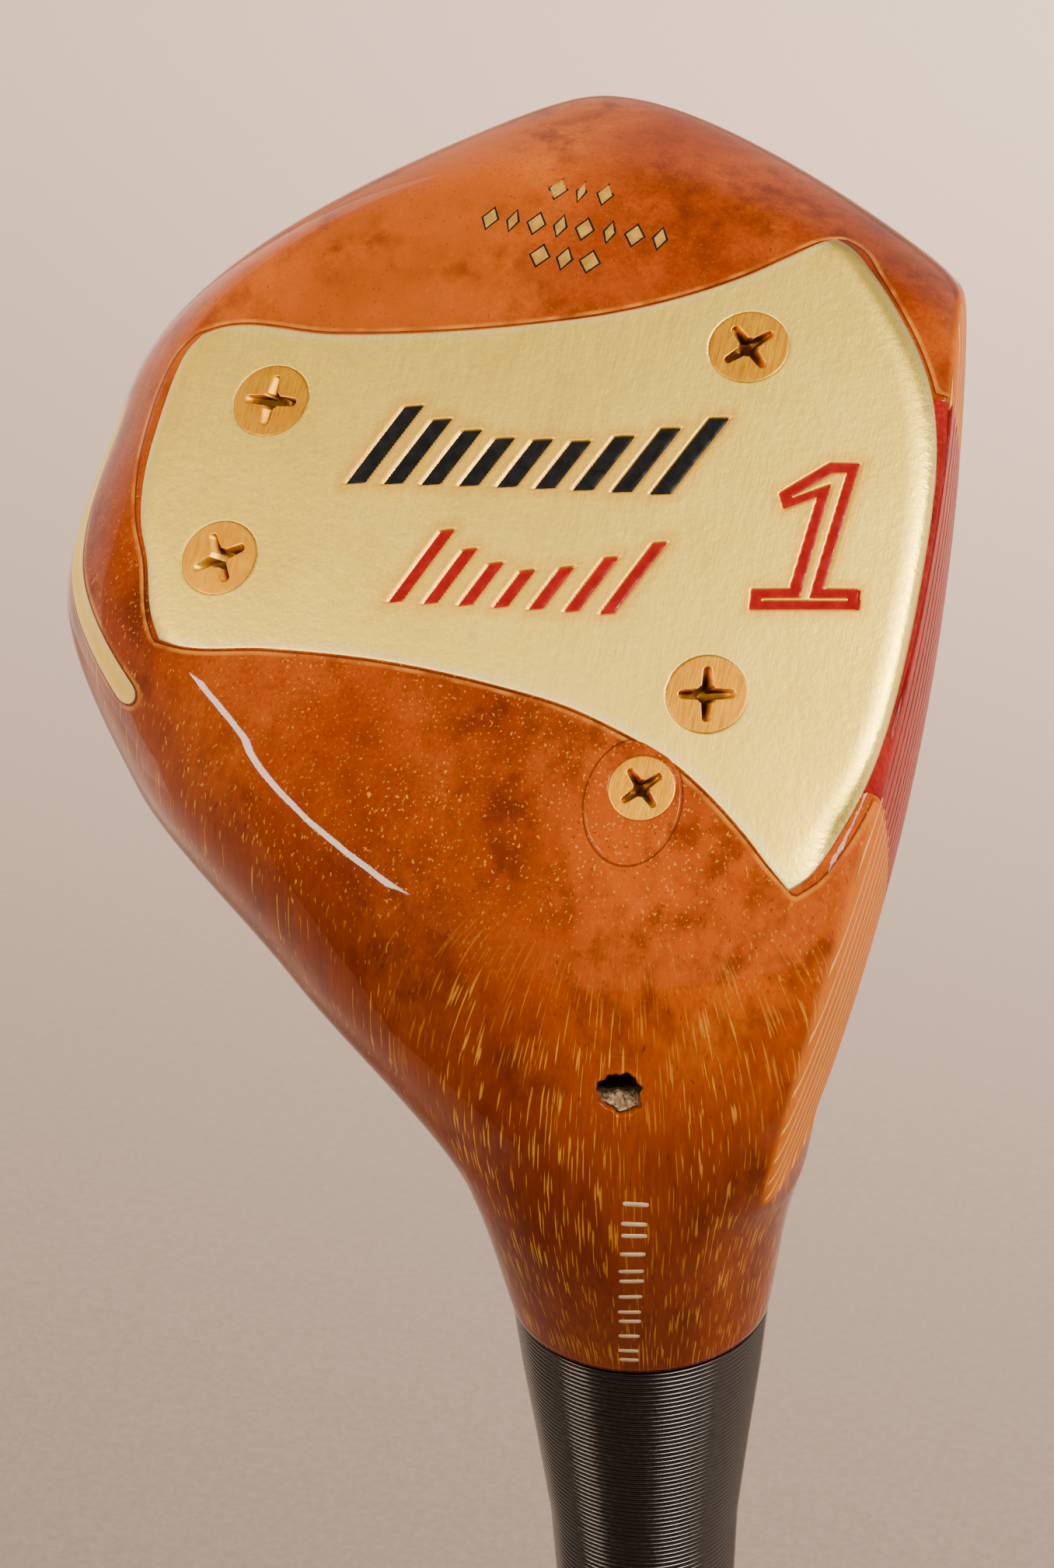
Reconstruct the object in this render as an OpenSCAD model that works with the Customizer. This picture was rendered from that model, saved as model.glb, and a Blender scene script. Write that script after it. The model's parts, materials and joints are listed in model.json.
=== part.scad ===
// Golf driver with a wooden head, right-handed, built at full size.
// The frame: origin at the middle of the butt end, +Z along the shaft to the head,
// +X the way the face looks, +Y level across the shaft to the toe side.
// The head is drawn sole up in its own frame and turned on to the shaft by the lie.

/* [Club] */
// Length along the shaft from the butt end to the ground line under the heel
club_length = 1092; // [1040:1:1150]
// Angle between the shaft and the ground
lie = 55; // [50:0.5:60]
// Distance of the shaft axis heelward of the middle of the sole
shaft_offset = 28; // [20:0.5:36]

/* [Head] */
// Toe end of the head from the middle of the sole
toe_reach = 53.5; // [45:0.5:65]
// Half depth of the head behind its spine
back_depth = 56; // [45:0.5:65]
// Half depth of the blank ahead of its spine, before the face is cut
front_depth = 50; // [40:0.5:65]
// Crown height above the widest line
crown_height = 25.5; // [20:0.5:32]
// Height of the widest line above the ground
waist_height = 19.5; // [14:0.5:26]
// Camber radius of the sole
sole_radius = 300; // [150:5:600]
// Lowest point of the sole, ahead of the shaft axis
sole_low = -10; // [-25:1:5]

/* [Face] */
// Leading edge ahead of the shaft axis
lead_edge = 23.8; // [15:0.1:30]
// Loft at the middle of the face
loft = 8; // [6:0.5:14]
// Bulge and roll radius
face_radius = 254; // [200:1:400]
// Height of the middle of the face
face_mid = 21; // [16:0.5:26]
// Depth of the insert at its middle
insert_depth = 5.5; // [3:0.5:8]
// Distance between score lines
score_pitch = 3; // [2:0.1:6]
// Depth of a score line
score_depth = 0.35; // [0.2:0.05:0.8]

/* [Sole plate] */
// Thickness of the plate
plate_t = 3; // [2:0.1:5]
// Width across the tail
tail_width = 35.2; // [25:0.1:45]
// Depth of the engraving
engrave = 0.45; // [0.2:0.05:0.8]
// Thickness of the paint in the engraving
paint_t = 0.25; // [0.1:0.05:0.5]
// Head diameter of a plate screw
screw_head = 8.2; // [6:0.1:10]
// Length of a plate screw
screw_length = 19; // [12:1:30]

/* [Neck and shaft] */
// Neck radius where the whipping begins
neck_r = 13.2; // [10:0.1:16]
// Distance of the whipping's edge from the ground line, along the shaft
whip_start = 62; // [55:0.5:75]
// Length of neck under the whipping
whip_length = 42; // [30:1:60]
// Thread thickness
thread = 0.6; // [0.4:0.05:1]
// Tip diameter of the shaft
tip_d = 8.5; // [8:0.05:10]
// Butt diameter of the shaft
butt_d = 15.2; // [14:0.1:16]
// Wall of the shaft
wall = 0.7; // [0.4:0.05:1.2]
// Diameter of the heel plug
plug_d = 9.6; // [8:0.1:12]
// Diameter of the neck pin
pin_d = 3; // [2:0.1:4]

/* [Grip] */
// Length of the grip
grip_length = 270; // [240:1:300]
// Outside diameter at the butt
grip_butt = 26; // [22:0.5:32]
// Outside diameter at the lower end
grip_low = 19; // [16:0.5:24]

/* [Hidden] */
e = 0.01;

wood_c = [0.55, 0.20, 0.06];
brass_c = [0.80, 0.70, 0.42];
screw_c = [0.75, 0.58, 0.22];
red_c = [0.70, 0.10, 0.08];
steel_c = [0.75, 0.76, 0.78];
black_c = [0.08, 0.08, 0.09];

tilt = 90 - lie;
whip_end = whip_start + whip_length;
ferrule_length = 16;
plug_length = 10;
plate_screws = [[-46.7, 7.9, 0], [0.8, 19.9, 45], [-47.7, -9.7, 30], [4.9, -17.3, 10]];
tail_mid = -1.7;

// The blank's spine runs level from the toe, bends about a point above the crown, and
// goes up the neck. Each station is a squared oval across the spine.
bend_start = 45;
bend_out = 30.5;
bend_r = 35;
pivot_t = -shaft_offset - bend_start * cos(lie) + bend_out * sin(lie);
pivot_u = bend_start * sin(lie) + bend_out * cos(lie);
bend_len = bend_r * lie * PI / 180;
close_t = 9.5;
toe_run = toe_reach - close_t;
neck_len = whip_start - bend_start;
k0 = pivot_t - close_t;
knots = [k0, k0 / 2, 0, bend_len / 2, bend_len, bend_len + neck_len];
neck_root = 15.5;
backs = [back_depth, back_depth - 2, 45, 31.5, 17.5, neck_r];
fronts = [front_depth, front_depth + 7, 46, 38, 16.5, neck_r];
tops = [crown_height, crown_height - 0.75, 24, 20, neck_root, neck_r];
unders = [26, 26.5, 23.5, 21, 18, neck_r];
shifts = [-11, -14, -11, -5, 0, 0];
rises = [pivot_u - waist_height, (pivot_u - waist_height + 32) / 2, 32, 30.5, bend_out, bend_out];
squares = [2.2, 2.3, 2.4, 2.1, 2, 2];

// Smooth curve through the knots that never overshoots them
function seg(x, i = 0) = i >= len(knots) - 2 || x < knots[i + 1] ? i : seg(x, i + 1);
function slope(v, i) = (v[i + 1] - v[i]) / (knots[i + 1] - knots[i]);
function blend_slope(a, b, p, q) = a * b <= 0 ? 0 : (p + q) / (p / a + q / b);
function tangent(v, i) = i == 0 ? slope(v, 0)
  : i == len(v) - 1 ? slope(v, i - 1)
  : let (h0 = knots[i] - knots[i - 1], h1 = knots[i + 1] - knots[i])
    blend_slope(slope(v, i - 1), slope(v, i), 2 * h1 + h0, h1 + 2 * h0);
function curve(v, s) = let (x = max(knots[0], min(s, knots[len(knots) - 1])), i = seg(x),
    h = knots[i + 1] - knots[i], w = (x - knots[i]) / h)
  (2 * w ^ 3 - 3 * w ^ 2 + 1) * v[i] + (w ^ 3 - 2 * w ^ 2 + w) * h * tangent(v, i)
  + (3 * w ^ 2 - 2 * w ^ 3) * v[i + 1] + (w ^ 3 - w ^ 2) * h * tangent(v, i + 1);

// How far the toe has closed at distance q along its run, with fullness f
function closing(q, f) = sqrt(1 - q * q) * (1 - f * q * q);
function oval(c, s, a, b, n) = (abs(c / a) ^ n + abs(s / b) ^ n) ^ (-1 / n);
function station(s, count) = let (q = max(0, min(0.9995, (pivot_t - s - close_t) / toe_run)),
    back = curve(backs, s) * closing(q, 0.6), front = curve(fronts, s) * closing(q, 0.4),
    top = curve(tops, s) * closing(q, 0.45), under = curve(unders, s) * closing(q, 0.45),
    mid = curve(shifts, s) - 12 * q * q, down = curve(rises, s) + 2 * q * q,
    n = curve(squares, s), turn = max(0, min(lie, s / bend_r * 180 / PI)),
    up = max(0, s - bend_len), t0 = pivot_t - min(0, s))
  [for (i = [0:count - 1]) let (g = i * 360 / count, c = cos(g), w = sin(g),
      r = oval(c, w, c > 0 ? front : back, w > 0 ? top : under, n), d = down - r * w)
    [mid + r * c, t0 - d * sin(turn) - up * cos(lie), -(pivot_u - d * cos(turn) + up * sin(lie))]];

sides = 56;
toe_steps = 14;
stations = concat(
  [for (i = [1:toe_steps]) pivot_t - close_t - toe_run * cos(i * 90 / toe_steps)],
  [for (i = [1:8]) k0 + (0 - k0) * i / 8],
  [for (i = [1:10]) bend_len * i / 10],
  [for (i = [1:5]) bend_len + neck_len * i / 5]);

module loft_solid(rings, count) {
  n = len(rings);
  polyhedron([for (r = rings) each r], concat(
    [for (j = [0:n - 2], i = [0:count - 1])
      [j * count + i, j * count + (i + 1) % count, (j + 1) * count + i]],
    [for (j = [0:n - 2], i = [0:count - 1])
      [j * count + (i + 1) % count, (j + 1) * count + (i + 1) % count, (j + 1) * count + i]],
    [[for (i = [count - 1:-1:0]) i]],
    [[for (i = [0:count - 1]) (n - 1) * count + i]]), convexity = 6);
}

// ---- Frames ----
module on_club() {
  translate([0, 0, club_length]) rotate([tilt, 0, 0]) translate([0, shaft_offset, 0]) children();
}

// Local z out of the sole at the given place, local origin on its surface
module on_sole(f, t, turn = 0) {
  b = asin((f - sole_low) / sole_radius);
  a = -asin(t / (sole_radius * cos(b)));
  translate([sole_low, 0, -sole_radius]) rotate([a, 0, 0]) rotate([0, b, 0])
    translate([0, 0, sole_radius]) rotate([0, 0, turn]) children();
}

// Local z out of the face, local x up the face, local origin at the middle of the bulge
bulge_mid = -12;
face_out = lead_edge - face_mid * tan(loft) + face_mid ^ 2 / (2 * face_radius);
module on_face() {
  translate([face_out, bulge_mid, -face_mid]) rotate([0, 90 + loft, 0]) children();
}

// The back weight's bar: middle, half length between its round ends, half width, tilt
weight_at = [-7.2, 10.5];
weight_run = 15.6;
weight_half = 1.7;
weight_tilt = -6;
weight_t = 3.6;

// ---- Shared shapes ----
module sole_ball(deeper = 0) {
  translate([sole_low, 0, -sole_radius]) rotate([0, 90, 0]) sphere(sole_radius - deeper, $fn = 300);
}

module face_ball(deeper = 0) {
  on_face() translate([0, 0, -face_radius]) rotate([0, 90, 0]) sphere(face_radius - deeper, $fn = 300);
}

// Room for the round neck beyond the end of the face
face_end = 44;
module neck_room() {
  translate([0, -shaft_offset, 0]) rotate([-tilt, 0, 0]) translate([0, 0, -whip_start - 2])
    cylinder(r1 = 32, r2 = 14, h = whip_start + 2 - face_end, $fn = 64);
}

module head_form() {
  intersection() {
    loft_solid([for (s = stations) station(s, sides)], sides);
    sole_ball();
    union() {
      face_ball();
      neck_room();
    }
  }
}

toe_edge = [for (f = [-42:7:7]) [f, tail_mid + tail_width / 2 + 0.4 + 17.4 * ((f + 42) / 49) ^ 2.3]];
heel_edge = [for (f = [17:-5.875:-30]) [f, tail_mid - tail_width / 2 + 0.4
  - 16.3 * ((f + 30) / 47) ^ 2.75]];
plate_outline = concat([[-66, 15.9]], toe_edge,
  [[12, 29.6], [16, 24.6], [19, 20.3], [21.5, 15], [24, 10], [27, 4], [27, -14], [23.5, -18],
    [22.8, -23.2], [21.9, -27], [20.4, -31]],
  heel_edge, [[-66, -19.2]]);

module plate_space() {
  difference() {
    translate([0, 0, -20]) linear_extrude(30) polygon(plate_outline);
    sole_ball(plate_t);
  }
}

module insert_space() {
  difference() {
    on_face() translate([0, 0, -insert_depth]) linear_extrude(12)
      polygon([[-30, -13], [30, -10], [30, 34], [-30, 29]]);
    plate_space();
  }
}

module back_weight_space() {
  difference() {
    translate([-80, weight_at[0], -weight_at[1]]) rotate([weight_tilt, 0, 0]) {
      for (s = [-1, 1]) translate([0, s * weight_run, 0]) rotate([0, 90, 0])
        cylinder(r = weight_half, h = 40, $fn = 40);
      translate([0, -weight_run, -weight_half]) cube([40, 2 * weight_run, 2 * weight_half]);
    }
    translate([-29.6, 0, -40]) cylinder(r = 36 - weight_t, h = 50, $fn = 96);
  }
}

module score_lines() {
  difference() {
    on_face() for (k = [-5:5])
      translate([k * score_pitch - 0.3, -40, -5]) cube([0.6, 90, 10]);
    face_ball(score_depth);
  }
}

// Countersunk cross-recess screw, head top at z = 0, pointing down
module screw(head, len) {
  d = head / 2;
  cone = head * 0.29;
  turns = 6;
  run = (len - cone - 5) / turns;
  difference() {
    rotate_extrude($fn = 24) polygon(concat(
      [[0, 0], [head / 2, 0], [head / 2, -0.3], [d / 2, -cone - 0.3]],
      [for (i = [0:turns - 1]) each [[d / 2 - 0.35, -cone - 1.5 - i * run],
        [d / 2, -cone - 1.5 - (i + 0.5) * run]]], [[d / 2 - 0.35, -len + 3], [0, -len]]));
    intersection() {
      translate([0, 0, -head * 0.28])
        cylinder(r1 = head * 0.1, r2 = head * 0.32, h = head * 0.28 + e, $fn = 24);
      union() {
        cube([head, head * 0.13, head], center = true);
        cube([head * 0.13, head, head], center = true);
      }
    }
  }
}

module screw_hole(head, len) {
  cone = head * 0.29;
  translate([0, 0, -cone - 0.3]) cylinder(r1 = head / 4, r2 = head / 2, h = cone, $fn = 32);
  translate([0, 0, -0.3]) cylinder(r = head / 2, h = 6, $fn = 32);
  translate([0, 0, -len]) cylinder(r = head / 4, h = len, $fn = 24);
}

module plate_screw_holes() {
  for (s = plate_screws) on_sole(s[0], s[1]) screw_hole(screw_head, screw_length);
}

insert_screw_spots = [[9, 10], [-4, 2], [-4, 18]];
module on_insert_screws() {
  for (s = insert_screw_spots)
    on_face() translate([s[0], s[1], -(s[0] ^ 2 + s[1] ^ 2) / (2 * face_radius) - score_depth]) children();
}

module insert_screw_holes() {
  on_insert_screws() screw_hole(5, 14);
}

// Painted shapes, drawn flat over the sole
numeral_outer = [[7.2, -8], [17.6, -6.1], [17.3, -4], [13.9, -4.6], [14.6, 9.2], [11.6, 8.7],
  [7.4, 4.6], [8.2, 3], [11.2, 4.9], [10.6, -5.2], [6.9, -5.9]];
numeral_inner = [[8.2, -6.9], [16.5, -5.4], [16.4, -5.1], [12.7, -5.8], [13.5, 8], [12.1, 7.7],
  [8.8, 4.5], [8.9, 4.4], [12.3, 6.5], [11.8, -5.9], [8.1, -6.6]];

module numeral() {
  difference() {
    polygon(numeral_outer);
    polygon(numeral_inner);
  }
}

// A row of slanted bars: start, pitch, width, lean and a height for each
module bars(at, rise, pitch, width, lean, heights) {
  for (i = [0:len(heights) - 1])
    translate([at[0] + i * pitch, at[1] + i * rise])
      polygon([[0, 0], [width, 0.4], [width + lean * heights[i], heights[i]],
        [lean * heights[i], heights[i] - 0.4]]);
}

module black_motif() {
  bars([-36.5, -0.5], 0.36, 3.9, 2.1, 0.42, [9.5, 8, 6.8, 6, 6, 6, 6.8, 8, 9.5]);
}

module red_motif() {
  bars([-29, -12.6], 0.28, 3.6, 1.5, 0.42, [8.6, 6.6, 5.2, 4.6, 5.2, 6.6, 8.6]);
}

module engraving() {
  difference() {
    translate([0, 0, -6]) linear_extrude(12) children();
    sole_ball(engrave);
  }
}

module paint() {
  intersection() {
    engraving() children();
    sole_ball(engrave - paint_t);
  }
}

// Whipping profile: distance from its edge and outside radius
whip_profile = [[0, neck_r - 0.05], [8, 12.3], [18, 11], [28, 9.8], [whip_length, 9.1]];
function under_thread(i) = whip_profile[i][1] - thread;
under_slope = (whip_profile[0][1] - whip_profile[1][1]) / whip_profile[1][0];
function along(l) = club_length - l;
module ring(profile_out, profile_in, faces = 64) {
  rotate_extrude($fn = faces)
    polygon(concat(profile_out, [for (i = [len(profile_in) - 1:-1:0]) profile_in[i]]));
}

module shaft_bore() {
  translate([0, 0, along(whip_end + 1)]) cylinder(d = tip_d, h = whip_end + 1 - plug_length, $fn = 48);
  translate([0, 0, along(plug_length)]) cylinder(d = plug_d, h = plug_length + 20, $fn = 48);
}

pin_z = along(25);
module pin_hole() {
  translate([2, 9, pin_z]) rotate([90, 0, 0]) cylinder(d = pin_d, h = 32, $fn = 32);
  translate([2, -13, pin_z]) rotate([90, 0, 0]) cylinder(d = pin_d + 0.9, h = 12, $fn = 32);
}

// ---- Head ----
module head_body() color(wood_c) difference() {
  union() {
    on_club() head_form();
    rotate([0, 0, 100]) rotate_extrude($fn = 64) polygon(concat(
      [[0, along(whip_start - 3)], [under_thread(0) + 3 * under_slope, along(whip_start - 3)]],
      [for (i = [1:len(whip_profile) - 1]) [under_thread(i), along(whip_start + whip_profile[i][0])]],
      [[0, along(whip_end)]]));
  }
  shaft_bore();
  pin_hole();
  on_club() {
    plate_space();
    insert_space();
    back_weight_space();
    score_lines();
    plate_screw_holes();
    insert_screw_holes();
    weight_cavity();
  }
}

module weight_cavity() {
  translate([-20, tail_mid, -16]) cylinder(r = 9, h = 16, $fn = 48);
}

module sole_plate() color(brass_c) difference() {
  on_club() intersection() {
    head_form();
    plate_space();
  }
  shaft_bore();
  on_club() {
    plate_screw_holes();
    engraving() numeral();
    engraving() black_motif();
    engraving() red_motif();
  }
}

module sole_plate_screws() color(screw_c) on_club()
  for (s = plate_screws) on_sole(s[0], s[1], s[2]) translate([0, 0, -0.05]) screw(screw_head, screw_length);

module numeral_paint() color(red_c) on_club() paint() numeral();

module black_motif_paint() color(black_c) on_club() paint() black_motif();

module red_motif_paint() color(red_c) on_club() paint() red_motif();

module lead_weight() color([0.42, 0.43, 0.45]) on_club() intersection() {
  weight_cavity();
  sole_ball(plate_t);
}

module face_insert() color(red_c) on_club() difference() {
  intersection() {
    head_form();
    insert_space();
  }
  score_lines();
  insert_screw_holes();
}

module insert_screws() color(screw_c) on_club() on_insert_screws() screw(5, 14);

module back_weight() color(brass_c) on_club() intersection() {
  head_form();
  back_weight_space();
}

module heel_plug() color([0.36, 0.16, 0.06]) difference() {
  intersection() {
    translate([0, 0, along(plug_length)]) cylinder(d = plug_d, h = plug_length + 20, $fn = 48);
    on_club() sole_ball();
  }
  on_club() on_sole(0.6, -27.7) screw_hole(6.8, 8);
}

module heel_lock_screw() color(screw_c) on_club()
  on_sole(0.6, -27.7, 45) translate([0, 0, -0.05]) screw(6.8, 8);

module tip_plug() color([0.72, 0.55, 0.35]) difference() {
  translate([0, 0, along(plug_length + 28)]) cylinder(d = tip_d - 2 * wall, h = 28, $fn = 32);
  pin_hole();
}

module neck_pin() color(steel_c)
  translate([2, 9, pin_z]) rotate([90, 0, 0]) cylinder(d = pin_d, h = 22, $fn = 32);

module whipping() color(black_c)
  ring([for (p = whip_profile) [p[1], along(whip_start + p[0])]],
    [for (p = whip_profile) [p[1] - thread, along(whip_start + p[0])]]);

module neck_ferrule() color(black_c)
  ring([[8.9, along(whip_end)], [8.6, along(whip_end + 4)], [6.6, along(whip_end + 12)],
      [5.2, along(whip_end + ferrule_length)]],
    [[tip_d / 2, along(whip_end)], [tip_d / 2, along(whip_end + ferrule_length)]]);

// ---- Shaft and grip ----
cap_t = 5;
shaft_top = along(plug_length);
step_count = 15;
step_run = 38;
first_step = 310;
function step_r(i) = (butt_d - (butt_d - tip_d) * i / step_count) / 2;
shaft_outline = concat([[butt_d / 2, cap_t]],
  [for (i = [0:step_count - 1]) each [[step_r(i), first_step + i * step_run],
    [step_r(i + 1), first_step + i * step_run + 1.5]]],
  [[tip_d / 2, shaft_top]]);

module shaft() color(steel_c) difference() {
  ring(shaft_outline, [for (p = shaft_outline) [p[0] - wall, p[1]]], 32);
  pin_hole();
}

grip_end = cap_t + grip_length;
binding = 7;
function grip_r(z) = grip_low / 2 + (grip_butt - grip_low) / 2 * ((grip_end - z) / grip_length) ^ 1.6;
leather_t = 1.3;
grip_zs = [cap_t + binding, 40, 80, 130, 190, grip_end];

module grip_underlisting() color([0.5, 0.45, 0.36])
  ring([for (z = concat([cap_t], grip_zs)) [grip_r(z) - leather_t, z]],
    [[butt_d / 2, cap_t], [butt_d / 2, grip_end]], 48);

module grip_leather() color(black_c)
  ring([for (z = grip_zs) [grip_r(z), z]], [for (z = grip_zs) [grip_r(z) - leather_t, z]], 48);

module butt_binding() color(black_c)
  ring([[grip_butt / 2 + 0.3, cap_t], [grip_butt / 2 + 0.2, cap_t + binding]],
    [[grip_r(cap_t) - leather_t, cap_t], [grip_r(cap_t + binding) - leather_t, cap_t + binding]], 48);

module grip_collar() color(black_c)
  ring([[grip_low / 2 + 0.2, grip_end], [grip_low / 2 + 0.1, grip_end + 4],
      [butt_d / 2 + 0.6, grip_end + 12]],
    [[butt_d / 2, grip_end], [butt_d / 2, grip_end + 12]], 48);

module butt_cap() color(black_c) difference() {
  rotate_extrude($fn = 48) polygon([[0, 0], [grip_butt / 2 - 1.5, 0], [grip_butt / 2 + 0.3, 1.5],
    [grip_butt / 2 + 0.3, cap_t], [0, cap_t]]);
  rotate([180, 0, 0]) translate([0, 0, -0.4]) screw_hole(6, 22);
}

module butt_cap_screw() color(steel_c)
  rotate([180, 0, 0]) translate([0, 0, -0.4]) screw(6, 22);

module butt_plug() color([0.72, 0.55, 0.35]) difference() {
  translate([0, 0, cap_t]) cylinder(d = butt_d - 2 * wall, h = 30, $fn = 32);
  rotate([180, 0, 0]) translate([0, 0, -0.4]) screw_hole(6, 22);
}

head_body();
sole_plate();
sole_plate_screws();
numeral_paint();
black_motif_paint();
red_motif_paint();
lead_weight();
face_insert();
insert_screws();
back_weight();
heel_plug();
heel_lock_screw();
tip_plug();
neck_pin();
whipping();
neck_ferrule();
shaft();
grip_collar();
grip_underlisting();
grip_leather();
butt_binding();
butt_cap();
butt_cap_screw();
butt_plug();
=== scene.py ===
"""Looks for the wooden golf driver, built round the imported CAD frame.

Head shapes are worked out in the head's own frame, in millimetres: x forward to the face,
t towards the toe, z out of the sole. row() turns them on to the shaft, in metres.
"""

import functools
import json
import math

import bmesh
import bpy
import numpy as np
from mathutils import Matrix, Vector

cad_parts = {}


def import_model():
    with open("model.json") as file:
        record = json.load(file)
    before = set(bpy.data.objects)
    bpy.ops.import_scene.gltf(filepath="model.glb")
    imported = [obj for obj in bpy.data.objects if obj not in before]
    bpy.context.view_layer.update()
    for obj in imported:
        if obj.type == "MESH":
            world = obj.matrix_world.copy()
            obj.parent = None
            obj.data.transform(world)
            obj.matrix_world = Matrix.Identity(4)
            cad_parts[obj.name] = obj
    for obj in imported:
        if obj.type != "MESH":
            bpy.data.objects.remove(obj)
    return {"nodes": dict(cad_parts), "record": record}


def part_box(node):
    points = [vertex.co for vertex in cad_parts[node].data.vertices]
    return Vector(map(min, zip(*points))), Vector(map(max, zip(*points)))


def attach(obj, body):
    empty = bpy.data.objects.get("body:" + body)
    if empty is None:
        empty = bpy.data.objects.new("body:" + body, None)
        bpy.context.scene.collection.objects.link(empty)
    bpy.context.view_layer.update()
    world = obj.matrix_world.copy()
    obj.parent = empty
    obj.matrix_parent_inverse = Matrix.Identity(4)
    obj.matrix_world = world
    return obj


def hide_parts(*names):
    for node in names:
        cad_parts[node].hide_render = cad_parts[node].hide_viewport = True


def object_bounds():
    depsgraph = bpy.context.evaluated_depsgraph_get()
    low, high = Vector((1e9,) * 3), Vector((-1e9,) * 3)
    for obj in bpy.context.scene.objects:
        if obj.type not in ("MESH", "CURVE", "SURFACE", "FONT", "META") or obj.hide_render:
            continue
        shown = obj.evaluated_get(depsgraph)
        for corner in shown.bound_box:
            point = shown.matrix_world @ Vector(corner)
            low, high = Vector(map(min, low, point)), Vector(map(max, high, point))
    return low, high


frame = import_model()
cad_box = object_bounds()

# ---------------------------------------------------------------- frames
mounts = {m["name"]: m for m in frame["record"]["mounts"]}
SOLE_OUT = np.array(mounts["sole_rest"]["axis"], float)
SOLE_OUT /= np.linalg.norm(SOLE_OUT)
SOLE_LOW = np.array(mounts["sole_rest"]["pos_m"], float)
LIE = math.asin(SOLE_OUT[2])
SIN, COS = math.sin(LIE), math.cos(LIE)
HEAD_AXES = np.array([[1, 0, 0], [0, SIN, COS], SOLE_OUT])
HEAD_ORIGIN = SOLE_LOW * [0, 1, 1]
SHAFT_T = -HEAD_ORIGIN[1] / SIN * 1000
CLUB_LENGTH = (HEAD_ORIGIN[2] + SHAFT_T * COS / 1000) * 1000
SOLE_TILT = (LIE - math.pi / 2, 0, 0)


def row(points):
    """Head frame in mm to the club's frame in metres."""
    return np.asarray(points, float) @ HEAD_AXES / 1000 + HEAD_ORIGIN


# ---------------------------------------------------------------- the head's form
SOLE_R = 300.0
SOLE_CENTRE = np.array([SOLE_LOW[0] * 1000, 0, -SOLE_R])
FACE_R, FACE_LOFT, FACE_MID, BULGE_MID = 254.0, math.radians(8), 21.0, -12.0
LEAD_EDGE, SCORE_PITCH = 23.8, 3.0
FACE_OUT = np.array([math.cos(FACE_LOFT), 0, -math.sin(FACE_LOFT)])
FACE_UP = np.array([-math.sin(FACE_LOFT), 0, -math.cos(FACE_LOFT)])
FACE_POINT = np.array(
    [LEAD_EDGE - FACE_MID * math.tan(FACE_LOFT) + FACE_MID**2 / (2 * FACE_R), BULGE_MID, -FACE_MID]
)
FACE_CENTRE = FACE_POINT - FACE_R * FACE_OUT

BEND_START, BEND_OUT, BEND_R = 45.0, 30.5, 35.0
PIVOT_T = SHAFT_T - BEND_START * COS + BEND_OUT * SIN
PIVOT_U = BEND_START * SIN + BEND_OUT * COS
BEND_LEN = BEND_R * LIE
WHIP_START, WHIP_LENGTH, THREAD = 62.0, 42.0, 0.6
NECK_LEN = WHIP_START - BEND_START
CLOSE_T, TOE_REACH, WAIST = 9.5, 53.5, 19.5
TOE_RUN = TOE_REACH - CLOSE_T
TIP_SHIFT, TIP_DROP = 12, 2
KNOTS = np.r_[np.linspace(PIVOT_T - CLOSE_T, 0, 3), BEND_LEN / 2, BEND_LEN, BEND_LEN + NECK_LEN]
NECK_R = 13.2
WHIP = [(0, NECK_R - 0.05), (8, 12.3), (18, 11), (28, 9.8), (WHIP_LENGTH, 9.1)]
BACKS = [56, 54, 45, 31.5, 17.5, NECK_R]
FRONTS = [50, 57, 46, 38, 16.5, NECK_R]
TOPS = [25.5, 24.75, 24, 20, 15.5, NECK_R]
UNDERS = [26, 26.5, 23.5, 21, 18, NECK_R]
SHIFTS = [-11, -14, -11, -5, 0, 0]
RISES = [PIVOT_U - WAIST, (PIVOT_U - WAIST + 32) / 2, 32, 30.5, BEND_OUT, BEND_OUT]
SQUARES = [2.2, 2.3, 2.4, 2.1, 2, 2]
FACE_SOFT, SOLE_SOFT = 32.0, 24.0


def hermite(w, h, a, b, slope_a, slope_b):
    """Value at share w of a run h from a to b, with the given slopes at its ends."""
    return ((2 * w**3 - 3 * w**2 + 1) * a + (w**3 - 2 * w**2 + w) * h * slope_a
            + (3 * w**2 - 2 * w**3) * b + (w**3 - w**2) * h * slope_b)


def curve(values, s):
    """Smooth value at s through the knots, with no overshoot."""
    v = np.asarray(values, float)
    h = np.diff(KNOTS)
    m = np.diff(v) / h
    d = np.empty_like(v)
    d[0], d[-1] = m[0], m[-1]
    near, far = 2 * h[1:] + h[:-1], h[1:] + 2 * h[:-1]
    with np.errstate(divide="ignore", invalid="ignore"):
        d[1:-1] = np.where(m[:-1] * m[1:] > 0, (near + far) / (near / m[:-1] + far / m[1:]), 0)
    x = np.clip(s, KNOTS[0], KNOTS[-1])
    i = np.clip(np.searchsorted(KNOTS, x, "right") - 1, 0, len(h) - 1)
    return hermite((x - KNOTS[i]) / h[i], h[i], v[i], v[i + 1], d[i], d[i + 1])


def spine(s):
    """At distance s along the spine: its share of the way to the toe's tip, and its shift and depth."""
    q = np.clip((PIVOT_T - s - CLOSE_T) / TOE_RUN, 0, 0.99995)
    return q, curve(SHIFTS, s) - TIP_SHIFT * q * q, curve(RISES, s) + TIP_DROP * q * q


def to_ball(origin, ray, centre, radius):
    """Distance along each ray to the inside of a ball."""
    rel = origin - centre
    b = (rel * ray).sum(-1)
    c = (rel * rel).sum(-1) - radius**2
    return np.maximum(-b + np.sqrt(np.maximum(b * b - c, 0)), 0.05)


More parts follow.
